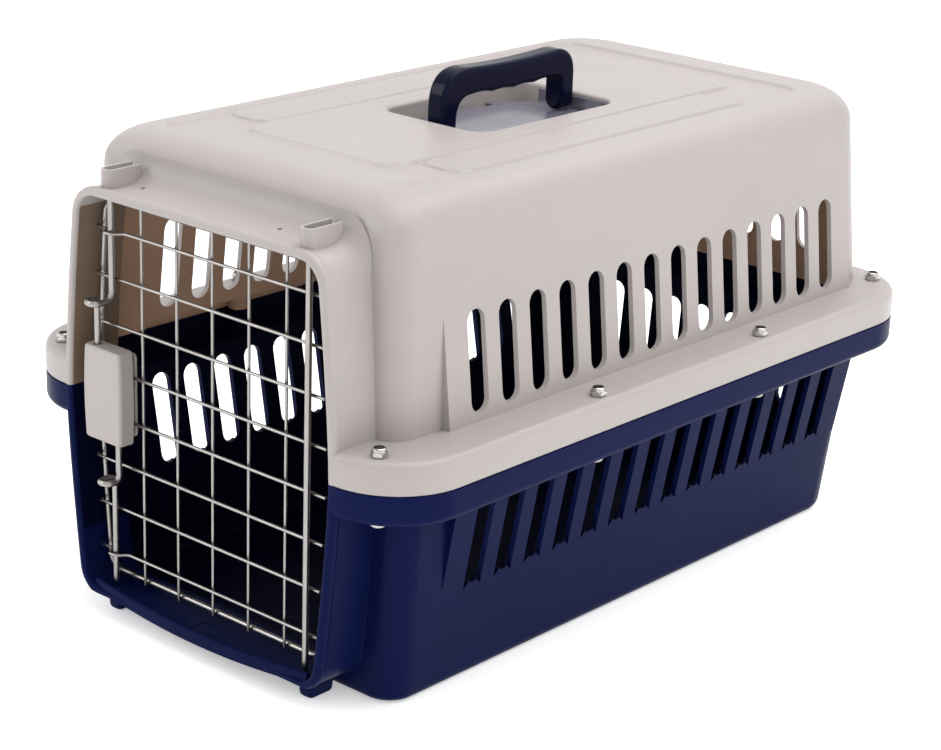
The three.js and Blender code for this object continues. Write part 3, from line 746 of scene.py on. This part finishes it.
def build_base_shell(skin, inside_shade):
    high = BASE_HIGH.z
    ledge = FLANGE_BOTTOM + WALL
    edge = [(FLANGE_BOTTOM, 4.4), (FLANGE_BOTTOM + 0.3, 2.8), (FLANGE_BOTTOM + 1.1, 1.4)]
    edge += [(FLANGE_BOTTOM + 2.4, 0.5), (FLANGE_BOTTOM + 4.2, 0), (high - 0.5, 0), (high, 0.5)]
    shell = flange("lower_shell", edge)
    cut(shell, flange("hollow", [(ledge, 0.8), (high + 1, 0)], WALL))
    add(shell, base_body("body", 0))
    wedge_low = BASE_HALF + 4
    wedge_high = BASE_HALF + 15.4
    add(shell, side_wedges(wedge_low, 54, wedge_high, ledge))
    cut(shell, base_body("cavity", WALL))
    cut(shell, side_wedges(wedge_low - WALL, 57, wedge_high - WALL, ledge + 1, WALL))
    half, front, rear = base_section(ledge)
    throat = round_rect(half - WALL, front + WALL, rear - WALL, *CABIN_RADII)
    cut(shell, prism("throat", throat, ledge - 0.5, high + 1, "Z"))
    add(shell, upright_rods(BOSS_RADIUS, flange_bolts(), ledge - 1, high))
    add(shell, collar(0, high, 13.0))
    cut(shell, opening_cutter())
    add(shell, threshold_lip())
    for x in FOOT_X:
        add(shell, front_foot(x))
    pocket = [(-7, -231.5), (8, -231.5), (8, -222), (-7, -222)]
    cut(shell, prism("pocket", pocket, 14.6, 20, "Z"))
    cut(shell, side_slots(obround, *BASE_VENTS))
    cut(shell, side_slots(swallowtail, *SILL_NOTCHES, start=BASE_HALF + 3))
    cut(shell, rear_slots(*BASE_REAR_VENTS))
    cut(shell, upright_rods(BOLT_HOLE_RADIUS, flange_bolts(), 108, 122))
    rods = [(PIN_X, ROD_Y), (ROD_X, ROD_Y)]
    cut(shell, upright_rods(ROD_HOLE_RADIUS, rods, 9.0, 30))
    soften(shell, 0.55)
    # The inner skin and the tunnel are painted a darker navy: painted shade.
    paint_inside_shade(shell, skin, inside_shade, inside_shade, is_inside_base, lambda point: point.z > 45)
    return shell


# ---- wires and rods
def bent_path(corners, radius, steps=7):
    """Straight runs between corner points, with a round bend at each inner corner."""
    corners = [Vector(corner) for corner in corners]
    path = [corners[0]]
    for before, here, after in zip(corners, corners[1:], corners[2:]):
        back = (before - here).normalized()
        ahead = (after - here).normalized()
        reach = min(radius, (before - here).length / 2, (after - here).length / 2)
        for k in range(steps + 1):
            t = k / steps
            start = here + back * reach
            end = here + ahead * reach
            path.append(start * (1 - t) ** 2 + here * (2 * t * (1 - t)) + end * t**2)
    path.append(corners[-1])
    return path


def tube_rings(path, radius, sides=14, closed=False):
    count = len(path)
    rings = []
    side_axis = None
    for i, point in enumerate(path):
        if closed:
            direction = path[(i + 1) % count] - path[i - 1]
        else:
            direction = path[min(i + 1, count - 1)] - path[max(i - 1, 0)]
        direction.normalize()
        if side_axis is None:
            helper = Vector((0, 1, 0)) if abs(direction.y) < 0.9 else Vector((1, 0, 0))
            side_axis = direction.cross(helper).normalized()
        side_axis = (side_axis - direction * side_axis.dot(direction)).normalized()
        other = direction.cross(side_axis)
        ring = []
        for k in range(sides):
            angle = 2 * math.pi * k / sides
            ring.append(point + side_axis * (radius * math.cos(angle)) + other * (radius * math.sin(angle)))
        rings.append(ring)
    return rings


def tube(name, path, radius, sides=14):
    """A round wire with softly rounded ends."""
    path = [Vector(point) for point in path]
    head = (path[1] - path[0]).normalized()
    tail = (path[-1] - path[-2]).normalized()
    tip = radius * 0.45
    rings = tube_rings(path, radius, sides)
    rings[0] = [point + head * tip for point in rings[0]]
    rings[-1] = [point - tail * tip for point in rings[-1]]
    start = [path[0] + (point - path[0] - head * tip) * 0.6 for point in rings[0]]
    end = [path[-1] + (point - path[-1] + tail * tip) * 0.6 for point in rings[-1]]
    obj = loft(name, [start] + rings + [end])
    finish_shading(obj, 50)
    return obj


def ring_tube(name, path, radius, sides=14):
    """A round wire bent into a closed loop."""
    rings = tube_rings(path, radius, sides, closed=True)
    points = [point for ring in rings for point in ring]
    count = len(rings)
    faces = []
    for i in range(count):
        after = (i + 1) % count
        for k in range(sides):
            step = (k + 1) % sides
            faces.append((i * sides + k, i * sides + step, after * sides + step, after * sides + k))
    obj = make_object(name, points, faces)
    finish_shading(obj, 50)
    return obj


FRAME_RADIUS = 1.6
FRAME_Y = (FRAME_LOW.y + FRAME_HIGH.y) / 2
FRAME_TOP = FRAME_HIGH.z - FRAME_RADIUS
FRAME_BOTTOM = FRAME_LOW.z + FRAME_RADIUS
FRAME_RIGHT = FRAME_HIGH.x - FRAME_RADIUS
FRAME_LEFT = FRAME_LOW.x + FRAME_RADIUS
FRAME_NARROWING = 6.0
WIRE_RADIUS = 0.9


def frame_side(z):
    """How far the frame's sides come in from their widest place at the seam."""
    return FRAME_NARROWING * (abs(z - SEAM_Z) / 100) ** 1.5


def build_door_frame():
    corner = 9.0
    steps = 22
    low = FRAME_BOTTOM + corner
    high = FRAME_TOP - corner
    inset = frame_side(high)
    left = FRAME_LEFT + inset + corner
    right = FRAME_RIGHT - inset - corner
    levels = [low + (high - low) * k / steps for k in range(steps + 1)]
    outline = [(FRAME_RIGHT - frame_side(z), z) for z in levels]
    outline += arc(right, high, corner, 10, 90, 8) + arc(left, high, corner, 90, 170, 8)
    outline += [(FRAME_LEFT + frame_side(z), z) for z in reversed(levels)]
    outline += arc(left, low, corner, 190, 270, 8) + arc(right, low, corner, 270, 350, 8)
    path = [Vector((x, FRAME_Y, z)) for x, z in outline]
    return ring_tube("door_frame_wire", path, FRAME_RADIUS, 16)


def node_middle(name):
    low, high = cad_box(name)
    return (low + high) / 2, low, high


def build_uprights():
    wires = []
    for i in range(1, 6):
        middle, low, high = node_middle(f"door_upright_{i}")
        path = [(middle.x, middle.y, low.z + (high.z - low.z) * k / 4) for k in range(5)]
        wires.append(tube("upright", path, WIRE_RADIUS, 12))
    obj = join_as("door_upright_wires", wires)
    finish_shading(obj, 50)
    return obj


def build_crosses():
    wires = []
    for i in range(1, 9):
        middle, low, high = node_middle(f"door_cross_{i}")
        z = middle.z
        cross_y = high.y - WIRE_RADIUS
        kinked = i in (1, 8)
        hook = [(low.x + 0.5, cross_y + 2.2, z), (low.x + 1.6, cross_y, z)]
        if kinked:
            front = ROD_Y - ROD_RADIUS - WIRE_RADIUS - 0.4
            corners = hook + [
                (PIN_X - 5.2, cross_y, z),
                (PIN_X - 3.0, front, z),
                (PIN_X + 3.0, front, z),
                (PIN_X + 7.5, cross_y, z),
                (high.x, cross_y, z),
            ]
        else:
            corners = hook + [(high.x, cross_y, z)]
        wires.append(tube("cross", bent_path(corners, 1.8, 6), WIRE_RADIUS, 12))
    obj = join_as("door_cross_wires", wires)
    finish_shading(obj, 50)
    return obj


def build_hinge_rod():
    steps = 6
    path = [(ROD_X, ROD_Y, ROD_LOW.z + (ROD_HIGH.z - ROD_LOW.z) * k / steps) for k in range(steps + 1)]
    return tube("hinge_rod_wire", path, ROD_RADIUS, 18)


LEG_OFFSET = 8.0
LEG_Y = -231.3
LOOP_Y = UPPER_LOW.y + ROD_RADIUS
UPPER_LOOP_Z = 184.5
LOWER_LOOP_Z = 83.0


def build_latch_rod(name, side, loop_z, tip_z, leg_end_z):
    """A pin, a finger loop bent out to the front, and a leg that runs back into the housing."""
    leg_x = PIN_X + side * LEG_OFFSET
    corners = [
        (PIN_X, ROD_Y, tip_z),
        (PIN_X, ROD_Y, loop_z),
        (PIN_X, LOOP_Y, loop_z),
        (leg_x, LOOP_Y, loop_z),
        (leg_x, LEG_Y, loop_z),
        (leg_x, LEG_Y, leg_end_z),
    ]
    return tube(name, bent_path(corners, 5.8, 10), ROD_RADIUS, 18)


def build_spring(name, node):
    middle, low, high = node_middle(node)
    wire = 0.45
    radius = (high.x - low.x) / 2 - wire
    turns = 4
    steps = 24
    path = []
    for k in range(turns * steps + 1):
        angle = 2 * math.pi * k / steps
        z = low.z + wire + (high.z - low.z - 2 * wire) * k / (turns * steps)
        path.append((middle.x + radius * math.cos(angle), middle.y + radius * math.sin(angle), z))
    return tube(name, path, wire, 8)


# ---- latch housing
def build_latch_case():
    """A thin moulded box, open at the back, with slightly barrelled sides."""
    low, high = CASE_LOW, CASE_HIGH
    height = high.z - low.z
    middle_x = (low.x + high.x) / 2
    middle_z = (low.z + high.z) / 2

    def barrel(inset, front, back, crown):
        levels = [(0.0, 1.3), (0.35, 0.55), (1.1, 0.12), (2.4, 0.0)]
        places = [(inset + a, b) for a, b in levels]
        count = 10
        inner = [(inset + 2.4 + (height - 2 * inset - 4.8) * k / count, 0) for k in range(1, count)]
        places += inner + [(height - a, b) for a, b in reversed(places)]
        rings = []
        for rise, trim in places:
            bulge = 0.9 * math.cos(math.pi * (rise / height - 0.5))
            half = (high.x - low.x) / 2 - 0.9 + bulge - inset - trim
            y0 = front + crown * (1 - bulge / 0.9) + trim
            outline = arc(half - 2.0, y0 + 2.0, 2.0, 270, 360, 6)
            outline += [(half, back), (-half, back)]
            outline += arc(-half + 2.0, y0 + 2.0, 2.0, 180, 270, 6)
            rings.append([(middle_x + a, b, low.z + rise) for a, b in outline])
        return loft("case", rings)

    case = barrel(0.0, low.y, high.y, 0.3)
    case.name = "latch_case"
    cut(case, barrel(1.4, low.y + 1.4, high.y + 4, 0.3))
    hole = ROD_RADIUS + 0.6
    upper = [(PIN_X - LEG_OFFSET, LEG_Y)]
    lower = [(PIN_X + LEG_OFFSET, LEG_Y)]
    cut(case, upright_rods(hole, upper, middle_z + 10, high.z + 5))
    cut(case, upright_rods(hole, lower, low.z - 5, middle_z - 10))
    soften(case, 0.3, angle=50)
    return case


def build_latch_back():
    middle, low, high = node_middle("latch_back_plate")
    back = high.y
    face = back - 1.8
    half = (high.x - low.x) / 2
    tall = (high.z - low.z) / 2
    outline = [(middle.x + a, middle.z + b) for a, b in round_rect(half, -tall, tall, 2.5, 2.5, 5)]
    plate = prism("latch_back", outline, face, back, "Y")
    for z in (CASE_LOW.z + 19, CASE_HIGH.z - 23):
        post = prism("post", arc(PIN_X, z, 1.7, 0, 340, 17), low.y, face + 1, "Y")
        add(plate, post)
    soften(plate, 0.3)
    return plate


# ---- nuts and bolts
def build_nut(name, x, y):
    """A lock nut: a chamfered hexagon with a domed collar and a bore."""
    low = NUT_LOW.z
    steps = 36

    def ring(z, radius, flat=None):
        points = []
        for k in range(steps):
            angle = 2 * math.pi * k / steps
            reach = radius
            if flat:
                turn = (angle + math.pi / 6) % (math.pi / 3) - math.pi / 6
                reach = min(radius, flat / math.cos(turn))
            points.append((x + reach * math.cos(angle), y + reach * math.sin(angle), z))
        return points

    flat = 4.0
    across = 4.62
    rings = [ring(low, 4.3, flat), ring(low + 0.3, across, flat), ring(low + 2.3, across, flat)]
    rings += [ring(low + 2.7, 4.2, flat), ring(low + 2.8, 3.75), ring(low + 3.9, 3.7)]
    rings += [ring(low + 4.4, 3.45), ring(low + 4.68, 3.0), ring(low + 4.6, 2.7), ring(low + 2.0, 2.6)]
    obj = loft(name, rings)
    finish_shading(obj, 25)
    return obj


def build_bolt(name, x, y):
    """The threaded end inside the nut, and the round head under the flange."""
    low, high = cad_box("bolt_right_front")
    head_top = FLANGE_BOTTOM - 0.3
    profile = [(low.z, 2.1), (low.z + 0.3, 3.3), (low.z + 0.9, 4.2), (low.z + 1.7, 4.65)]
    profile += [(head_top, 4.7), (head_top + 0.01, 2.5)]
    thread = 0.8
    z = head_top + 1
    while z < high.z - 1.4:
        profile += [(z, 2.5), (z + thread / 2, 2.2)]
        z += thread
    profile += [(high.z - 0.8, 2.4), (high.z, 1.8)]
    rings = []
    for z, radius in profile:
        rings.append([(a, b, z) for a, b in arc(x, y, radius, 0, 345, 23)])
    obj = loft(name, rings)
    finish_shading(obj, 35)
    return obj


# ---- carry handle
def curve_points(start, control, end, steps):
    start, control, end = Vector(start), Vector(control), Vector(end)
    points = []
    for k in range(steps + 1):
        t = k / steps
        points.append(tuple(start * (1 - t) ** 2 + control * (2 * t * (1 - t)) + end * t**2))
    return points


def build_handle():
    """The grip, drawn in side view and pushed across, with rounded edges."""
    reach = 57.5
    inner = reach - 12.5
    foot = PIVOT_Z - 7
    top = GRIP_HIGH.z - 0.2
    under = top - 16
    outline = [(-reach, foot)]
    outline += curve_points((-reach, top - 21), (-reach + 0.3, top), (-reach + 20, top), 12)
    outline += curve_points((-reach + 21, top), (0, top - 2.4), (reach - 17, top), 16)
    outline += curve_points((reach - 16, top), (reach, top), (reach, top - 16), 10)
    outline += [(reach, foot), (inner, foot)]
    outline += curve_points((inner, under - 4.5), (inner, under), (inner - 4.5, under), 5)
    waves = 4
    first = inner - 5.5
    last = -inner + 13
    for k in range(1, waves * 8):
        t = k / (waves * 8)
        y = first + (last - first) * t
        ripple = 0.8 * abs(math.sin(math.pi * waves * t))
        sag = 1.2 * math.sin(math.pi * t)
        outline.append((y, under + ripple - sag))
    outline += curve_points((last, under), (-inner, under), (-inner, under - 13), 10)
    outline += [(-inner, foot)]
    half = (GRIP_HIGH.x - GRIP_LOW.x) / 2
    points = [(HANDLE_Y + a, b) for a, b in outline]
    grip = prism("grip", points, HANDLE_X - half, HANDLE_X + half, "X")
    clear = round_rect(half + 1, -reach - 1, reach + 1, 0.5, 0.5, 1)
    feet = prism("clear", [(HANDLE_X + a, HANDLE_Y + b) for a, b in clear], PIVOT_Z, top + 2, "Z")
    turn = arc(HANDLE_X, PIVOT_Z, half, 0, 350, 35)
    add(feet, prism("turn", turn, HANDLE_Y - reach - 0.8, HANDLE_Y + reach + 0.8, "Y"))
    keep(grip, feet)
    bevel = grip.modifiers.new("bevel", "BEVEL")
    bevel.width = 2.6 * MM
    bevel.segments = 5
    bevel.limit_method = "ANGLE"
    bevel.angle_limit = math.radians(60)
    apply_modifiers(grip)
    radius = 2.0
    tip = RECESS_HALF_Y + 2.8
    section = arc(HANDLE_X, PIVOT_Z, radius, 0, 345, 23)
    for start, end in ((-tip, -inner - 4), (inner + 4, tip)):
        add(grip, prism("pin", section, HANDLE_Y + start, HANDLE_Y + end, "Y"))
    finish_shading(grip, 40)
    return grip


def at_handle(outline):
    return [(a, b + HANDLE_Y) for a, b in outline]


def build_recess_plate():
    """The pocket's liner: a floor with one bowed edge and a notch, and a wall round the rest."""
    half = RECESS_HALF_X - 0.4
    long = RECESS_HALF_Y - 0.4
    corner = RECESS_RADIUS - 0.4
    outline = [(-half + corner, -long)]
    outline += arc(half - corner, -long + corner, corner, -90, 0, 8)
    outline += arc(half - corner, long - corner, corner, 0, 90, 8)
    outline += curve_points((-half + corner + 8, long), (-half + 1, long * 0.62), (-half + 1, 30), 14)
    outline += [(-half + 7, 30), (-half + 7, 21)]
    outline += curve_points((-half + 1, 21), (-half + 1, -long * 0.55), (-half + corner, -long), 14)[:-1]
    floor = PLATE_LOW.z
    plate = prism("recess_floor", at_handle(outline), floor, PLATE_HIGH.z, "Z")
    skin = 1.0
    outer = round_rect(half, -long, long, corner, corner, 8)
    wall = prism("liner", at_handle(outer), floor + 0.5, ROOF_Z - 2.6, "Z")
    inner = round_rect(half - skin, -long + skin, long - skin, corner - skin, corner - skin, 8)
    cut(wall, prism("inner", at_handle(inner), floor, ROOF_Z, "Z"))
    open_side = [(-half - 5, -long - 5), (-half + corner + 6, -long - 5)]
    open_side += [(-half + corner + 6, long + 5), (-half - 5, long + 5)]
    cut(wall, prism("open", at_handle(open_side), floor, ROOF_Z, "Z"))
    add(plate, wall)
    sockets = arc(HANDLE_X, PIVOT_Z, 2.5, 0, 345, 23)
    cut(plate, prism("sockets", sockets, HANDLE_Y - long - 3, HANDLE_Y + long + 3, "Y"))
    soften(plate, 0.3, angle=50)
    return plate


# ---- materials
class Look:
    """A node material built up step by step round one Principled shader."""

    def __init__(self, name):
        self.material = bpy.data.materials.new(name)
        self.material.use_nodes = True
        self.tree = self.material.node_tree
        self.shader = self.tree.nodes["Principled BSDF"]
        self.place = self.tree.nodes.new("ShaderNodeTexCoord").outputs["Object"]

    def link(self, output, socket):
        self.tree.links.new(output, socket)

    def noise(self, scale, detail=2.0, stretch=None):
        texture = self.tree.nodes.new("ShaderNodeTexNoise")
        texture.inputs["Scale"].default_value = scale
        texture.inputs["Detail"].default_value = detail
        if stretch:
            mapping = self.tree.nodes.new("ShaderNodeMapping")
            mapping.inputs["Scale"].default_value = stretch
            self.link(self.place, mapping.inputs["Vector"])
            self.link(mapping.outputs["Vector"], texture.inputs["Vector"])
        else:
            self.link(self.place, texture.inputs["Vector"])
        return texture.outputs["Fac"]

    def ramp(self, value, low, high, start=0.0, end=1.0):
        node = self.tree.nodes.new("ShaderNodeMapRange")
        node.inputs["From Min"].default_value = low
        node.inputs["From Max"].default_value = high
        node.inputs["To Min"].default_value = start
        node.inputs["To Max"].default_value = end
        self.link(value, node.inputs["Value"])
        return node.outputs["Result"]

    def mix(self, factor, first, second):
        node = self.tree.nodes.new("ShaderNodeMix")
        node.data_type = "RGBA"
        self.link(factor, node.inputs["Factor"])
        for socket, value in ((node.inputs[6], first), (node.inputs[7], second)):
            if isinstance(value, tuple):
                socket.default_value = (*value, 1)
            else:
                self.link(value, socket)
        return node.outputs[2]

    def total(self, first, second):
        node = self.tree.nodes.new("ShaderNodeMath")
        node.operation = "ADD"
        self.link(first, node.inputs[0])
        self.link(second, node.inputs[1])
        return node.outputs[0]

    def bump(self, height, strength, distance):
        node = self.tree.nodes.new("ShaderNodeBump")
        node.inputs["Strength"].default_value = strength
        node.inputs["Distance"].default_value = distance * MM
        self.link(height, node.inputs["Height"])
        self.link(node.outputs["Normal"], self.shader.inputs["Normal"])


def moulded_plastic(name, colour, shade, scuff, roughness, specular, grain, coat=0.0):
    """Injection-moulded plastic: fine grain, faint flow marks, and light scuffs."""
    look = Look(name)
    flow = look.ramp(look.noise(7, 3, (1, 1, 2.2)), 0.35, 0.68)
    body = look.mix(flow, colour, shade)
    scratches = look.noise(55, 6, (9, 1.2, 1.2))
    marks = look.ramp(scratches, 0.66, 0.74, 0, 0.5)
    look.link(look.mix(marks, body, scuff), look.shader.inputs["Base Color"])
    patches = look.ramp(look.noise(38, 4), 0.3, 0.7, roughness - 0.05, roughness + 0.06)
    worn = look.ramp(scratches, 0.64, 0.76, 0, 0.16)
    look.link(look.total(patches, worn), look.shader.inputs["Roughness"])
    look.shader.inputs["Specular IOR Level"].default_value = specular
    look.shader.inputs["Coat Weight"].default_value = coat
    look.shader.inputs["Coat Roughness"].default_value = 0.08
    look.bump(look.noise(1500, 2), grain, 0.12)
    return look.material


def drawn_metal(name, colour, shade, roughness, grain):
    """Bright metal with fine drawing lines and dull patches."""
    look = Look(name)
    tarnish = look.ramp(look.noise(40, 3), 0.38, 0.72)
    look.link(look.mix(tarnish, colour, shade), look.shader.inputs["Base Color"])
    look.shader.inputs["Metallic"].default_value = 1.0
    patches = look.ramp(look.noise(160, 3), 0.3, 0.7, roughness - 0.03, roughness + 0.05)
    look.link(patches, look.shader.inputs["Roughness"])
    look.bump(look.noise(2600, 3), grain, 0.05)
    return look.material


def painted_shade_plastic(name, colour, shade):
    """The upper shell's inside and tunnel: dull plastic in a dark warm brown, which is painted shade for the
    dim inside, not the cream's own colour.
    """
    look = Look(name)
    flow = look.ramp(look.noise(9, 3), 0.35, 0.7)
    body = look.mix(flow, colour, shade)
    look.link(body, look.shader.inputs["Base Color"])
    patches = look.ramp(look.noise(40, 4), 0.3, 0.7, 0.5, 0.65)
    look.link(patches, look.shader.inputs["Roughness"])
    look.shader.inputs["Specular IOR Level"].default_value = 0.25
    look.bump(look.noise(1500, 2), 0.12, 0.12)
    return look.material


cream = moulded_plastic(
    "cream_plastic", (0.356, 0.324, 0.313), (0.340, 0.309, 0.298), (0.385, 0.35, 0.343), 0.40, 0.32, 0.10
)
# Painted shade: brown for the cream shell's inside, and darker still for the tunnel behind the doorway.
cream_painted_shade = painted_shade_plastic("cream_plastic_painted_shade", (0.47, 0.30, 0.20), (0.41, 0.26, 0.172))
cream_painted_tunnel_shade = painted_shade_plastic("cream_plastic_painted_tunnel_shade", (0.17, 0.118, 0.082), (0.15, 0.103, 0.071))
navy = moulded_plastic(
    "navy_plastic", (0.0030, 0.0062, 0.043), (0.0024, 0.0052, 0.036), (0.009, 0.011, 0.055), 0.33, 0.036, 0.08
)
gloss_navy = moulded_plastic(
    "gloss_navy_plastic", (0.0035, 0.0042, 0.018), (0.0028, 0.0034, 0.015), (0.007, 0.008, 0.026),
    0.16, 0.07, 0.02, coat=0.02
)
# Painted reflection: the recess plate's light grey-navy colour stands in for gloss navy plastic reflecting
# its bright surroundings.
plate_painted_reflection = moulded_plastic(
    "plate_navy_painted_reflection", (0.130, 0.125, 0.165), (0.110, 0.105, 0.145), (0.15, 0.15, 0.18),
    0.24, 0.5, 0.02, coat=0.2
)
# Painted shade: the base's inside is a darker navy than its outside, standing in for the dim light there.
navy_painted_shade = moulded_plastic(
    "navy_plastic_painted_shade", (0.0014, 0.0022, 0.015), (0.0011, 0.0018, 0.012), (0.004, 0.005, 0.022),
    0.4, 0.03, 0.08
)
steel = drawn_metal("wire_steel", (0.34, 0.325, 0.315), (0.30, 0.287, 0.277), 0.30, 0.008)
zinc = drawn_metal("fastener_zinc", (0.46, 0.44, 0.42), (0.36, 0.345, 0.33), 0.2, 0.02)

# ---- pieces
piece(build_top_shell(cream, cream_painted_shade, cream_painted_tunnel_shade), "shells", "cream_plastic", cream, "top_shell")
piece(build_base_shell(navy, navy_painted_shade), "shells", "navy_plastic", navy, "base_shell")
piece(build_recess_plate(), "shells", "gloss_navy_plastic", plate_painted_reflection, "recess_plate")
piece(build_handle(), "handle", "gloss_navy_plastic", gloss_navy, "carry_handle")

for spot, x, y in bolt_places():
    piece(build_nut(f"lock_nut_{spot}", x, y), "shells", "fastener_zinc", zinc, f"nut_{spot}")
    piece(build_bolt(f"screw_{spot}", x, y), "shells", "fastener_zinc", zinc, f"bolt_{spot}")

uprights = [f"door_upright_{i}" for i in range(1, 6)]
crosses = [f"door_cross_{i}" for i in range(1, 9)]
piece(build_door_frame(), "door", "wire_steel", steel, "door_frame")
piece(build_uprights(), "door", "wire_steel", steel, *uprights)
piece(build_crosses(), "door", "wire_steel", steel, *crosses)
piece(build_hinge_rod(), "door", "wire_steel", steel, "hinge_rod")
piece(build_latch_case(), "door", "cream_plastic", cream, "latch_housing")
piece(build_latch_back(), "door", "cream_plastic", cream, "latch_back_plate")

upper_rod = build_latch_rod("upper_squeeze_rod", -1, UPPER_LOOP_Z, UPPER_HIGH.z, UPPER_LOW.z)
lower_rod = build_latch_rod("lower_squeeze_rod", 1, LOWER_LOOP_Z, LOWER_LOW.z, LOWER_HIGH.z)
piece(upper_rod, "upper_latch", "wire_steel", steel, "upper_latch_rod")
piece(lower_rod, "lower_latch", "wire_steel", steel, "lower_latch_rod")
for end in ("upper", "lower"):
    spring = build_spring(f"{end}_return_spring", f"{end}_latch_spring")
    piece(spring, "door", "wire_steel", steel, f"{end}_latch_spring")


# ---- floor, light and camera
def build_floor():
    mesh = bpy.data.meshes.new("studio_floor")
    reach = 6.0
    corners = [(-reach, -reach, 0), (reach, -reach, 0), (reach, reach, 0), (-reach, reach, 0)]
    mesh.from_pydata(corners, [], [(0, 1, 2, 3)])
    floor = bpy.data.objects.new("studio_floor", mesh)
    bpy.context.scene.collection.objects.link(floor)
    look = Look("floor_white")
    tone = look.ramp(look.noise(3, 2), 0.3, 0.7)
    look.link(look.mix(tone, (0.93, 0.93, 0.93), (0.92, 0.92, 0.92)), look.shader.inputs["Base Color"])
    look.shader.inputs["Emission Color"].default_value = (1, 1, 1, 1)
    look.shader.inputs["Emission Strength"].default_value = 0.36
    look.shader.inputs["Roughness"].default_value = 0.9
    look.shader.inputs["Specular IOR Level"].default_value = 0.1
    mesh.materials.append(look.material)


def add_light(name, place, target, size, power, colour=(1, 1, 1)):
    data = bpy.data.lights.new(name, "AREA")
    data.shape = "RECTANGLE"
    data.size, data.size_y = size
    data.energy = power
    data.color = colour
    light = bpy.data.objects.new(name, data)
    light.location = place
    direction = Vector(target) - Vector(place)
    light.rotation_euler = direction.to_track_quat("-Z", "Y").to_euler()
    bpy.context.scene.collection.objects.link(light)


def set_world(strength):
    world = bpy.data.worlds.new("studio")
    bpy.context.scene.world = world
    world.use_nodes = True
    background = world.node_tree.nodes["Background"]
    background.inputs["Color"].default_value = (1, 1, 1, 1)
    background.inputs["Strength"].default_value = strength


def add_camera():
    azimuth = math.radians(41.076)
    elevation = math.radians(19.408)
    roll = math.radians(2.004)
    back = Vector((
        math.sin(azimuth) * math.cos(elevation),
        -math.cos(azimuth) * math.cos(elevation),
        math.sin(elevation),
    ))
    level_right = (-back).cross(Vector((0, 0, 1))).normalized()
    level_up = level_right.cross(-back)
    right = level_right * math.cos(roll) + level_up * math.sin(roll)
    up = level_up * math.cos(roll) - level_right * math.sin(roll)
    data = bpy.data.cameras.new("camera")
    data.sensor_width = 36
    data.lens = 92.31
    camera = bpy.data.objects.new("camera", data)
    turn = Matrix((right, up, back)).transposed().to_4x4()
    camera.matrix_world = Matrix.Translation((0.8854, -1.0324, 0.5850)) @ turn
    bpy.context.scene.collection.objects.link(camera)
    bpy.context.scene.camera = camera


build_floor()
set_world(1.0)
add_light("overhead", (0.25, 0.40, 1.7), (0, 0, 0.1), (1.6, 1.6), 25)
add_light("front_left", (-1.3, -1.5, 1.1), (0, -0.1, 0.15), (0.7, 1.0), 9)
add_light("right", (1.9, 0.2, 1.0), (0, 0, 0.12), (0.8, 1.2), 5)
add_camera()
bpy.context.scene.view_settings.view_transform = "Standard"
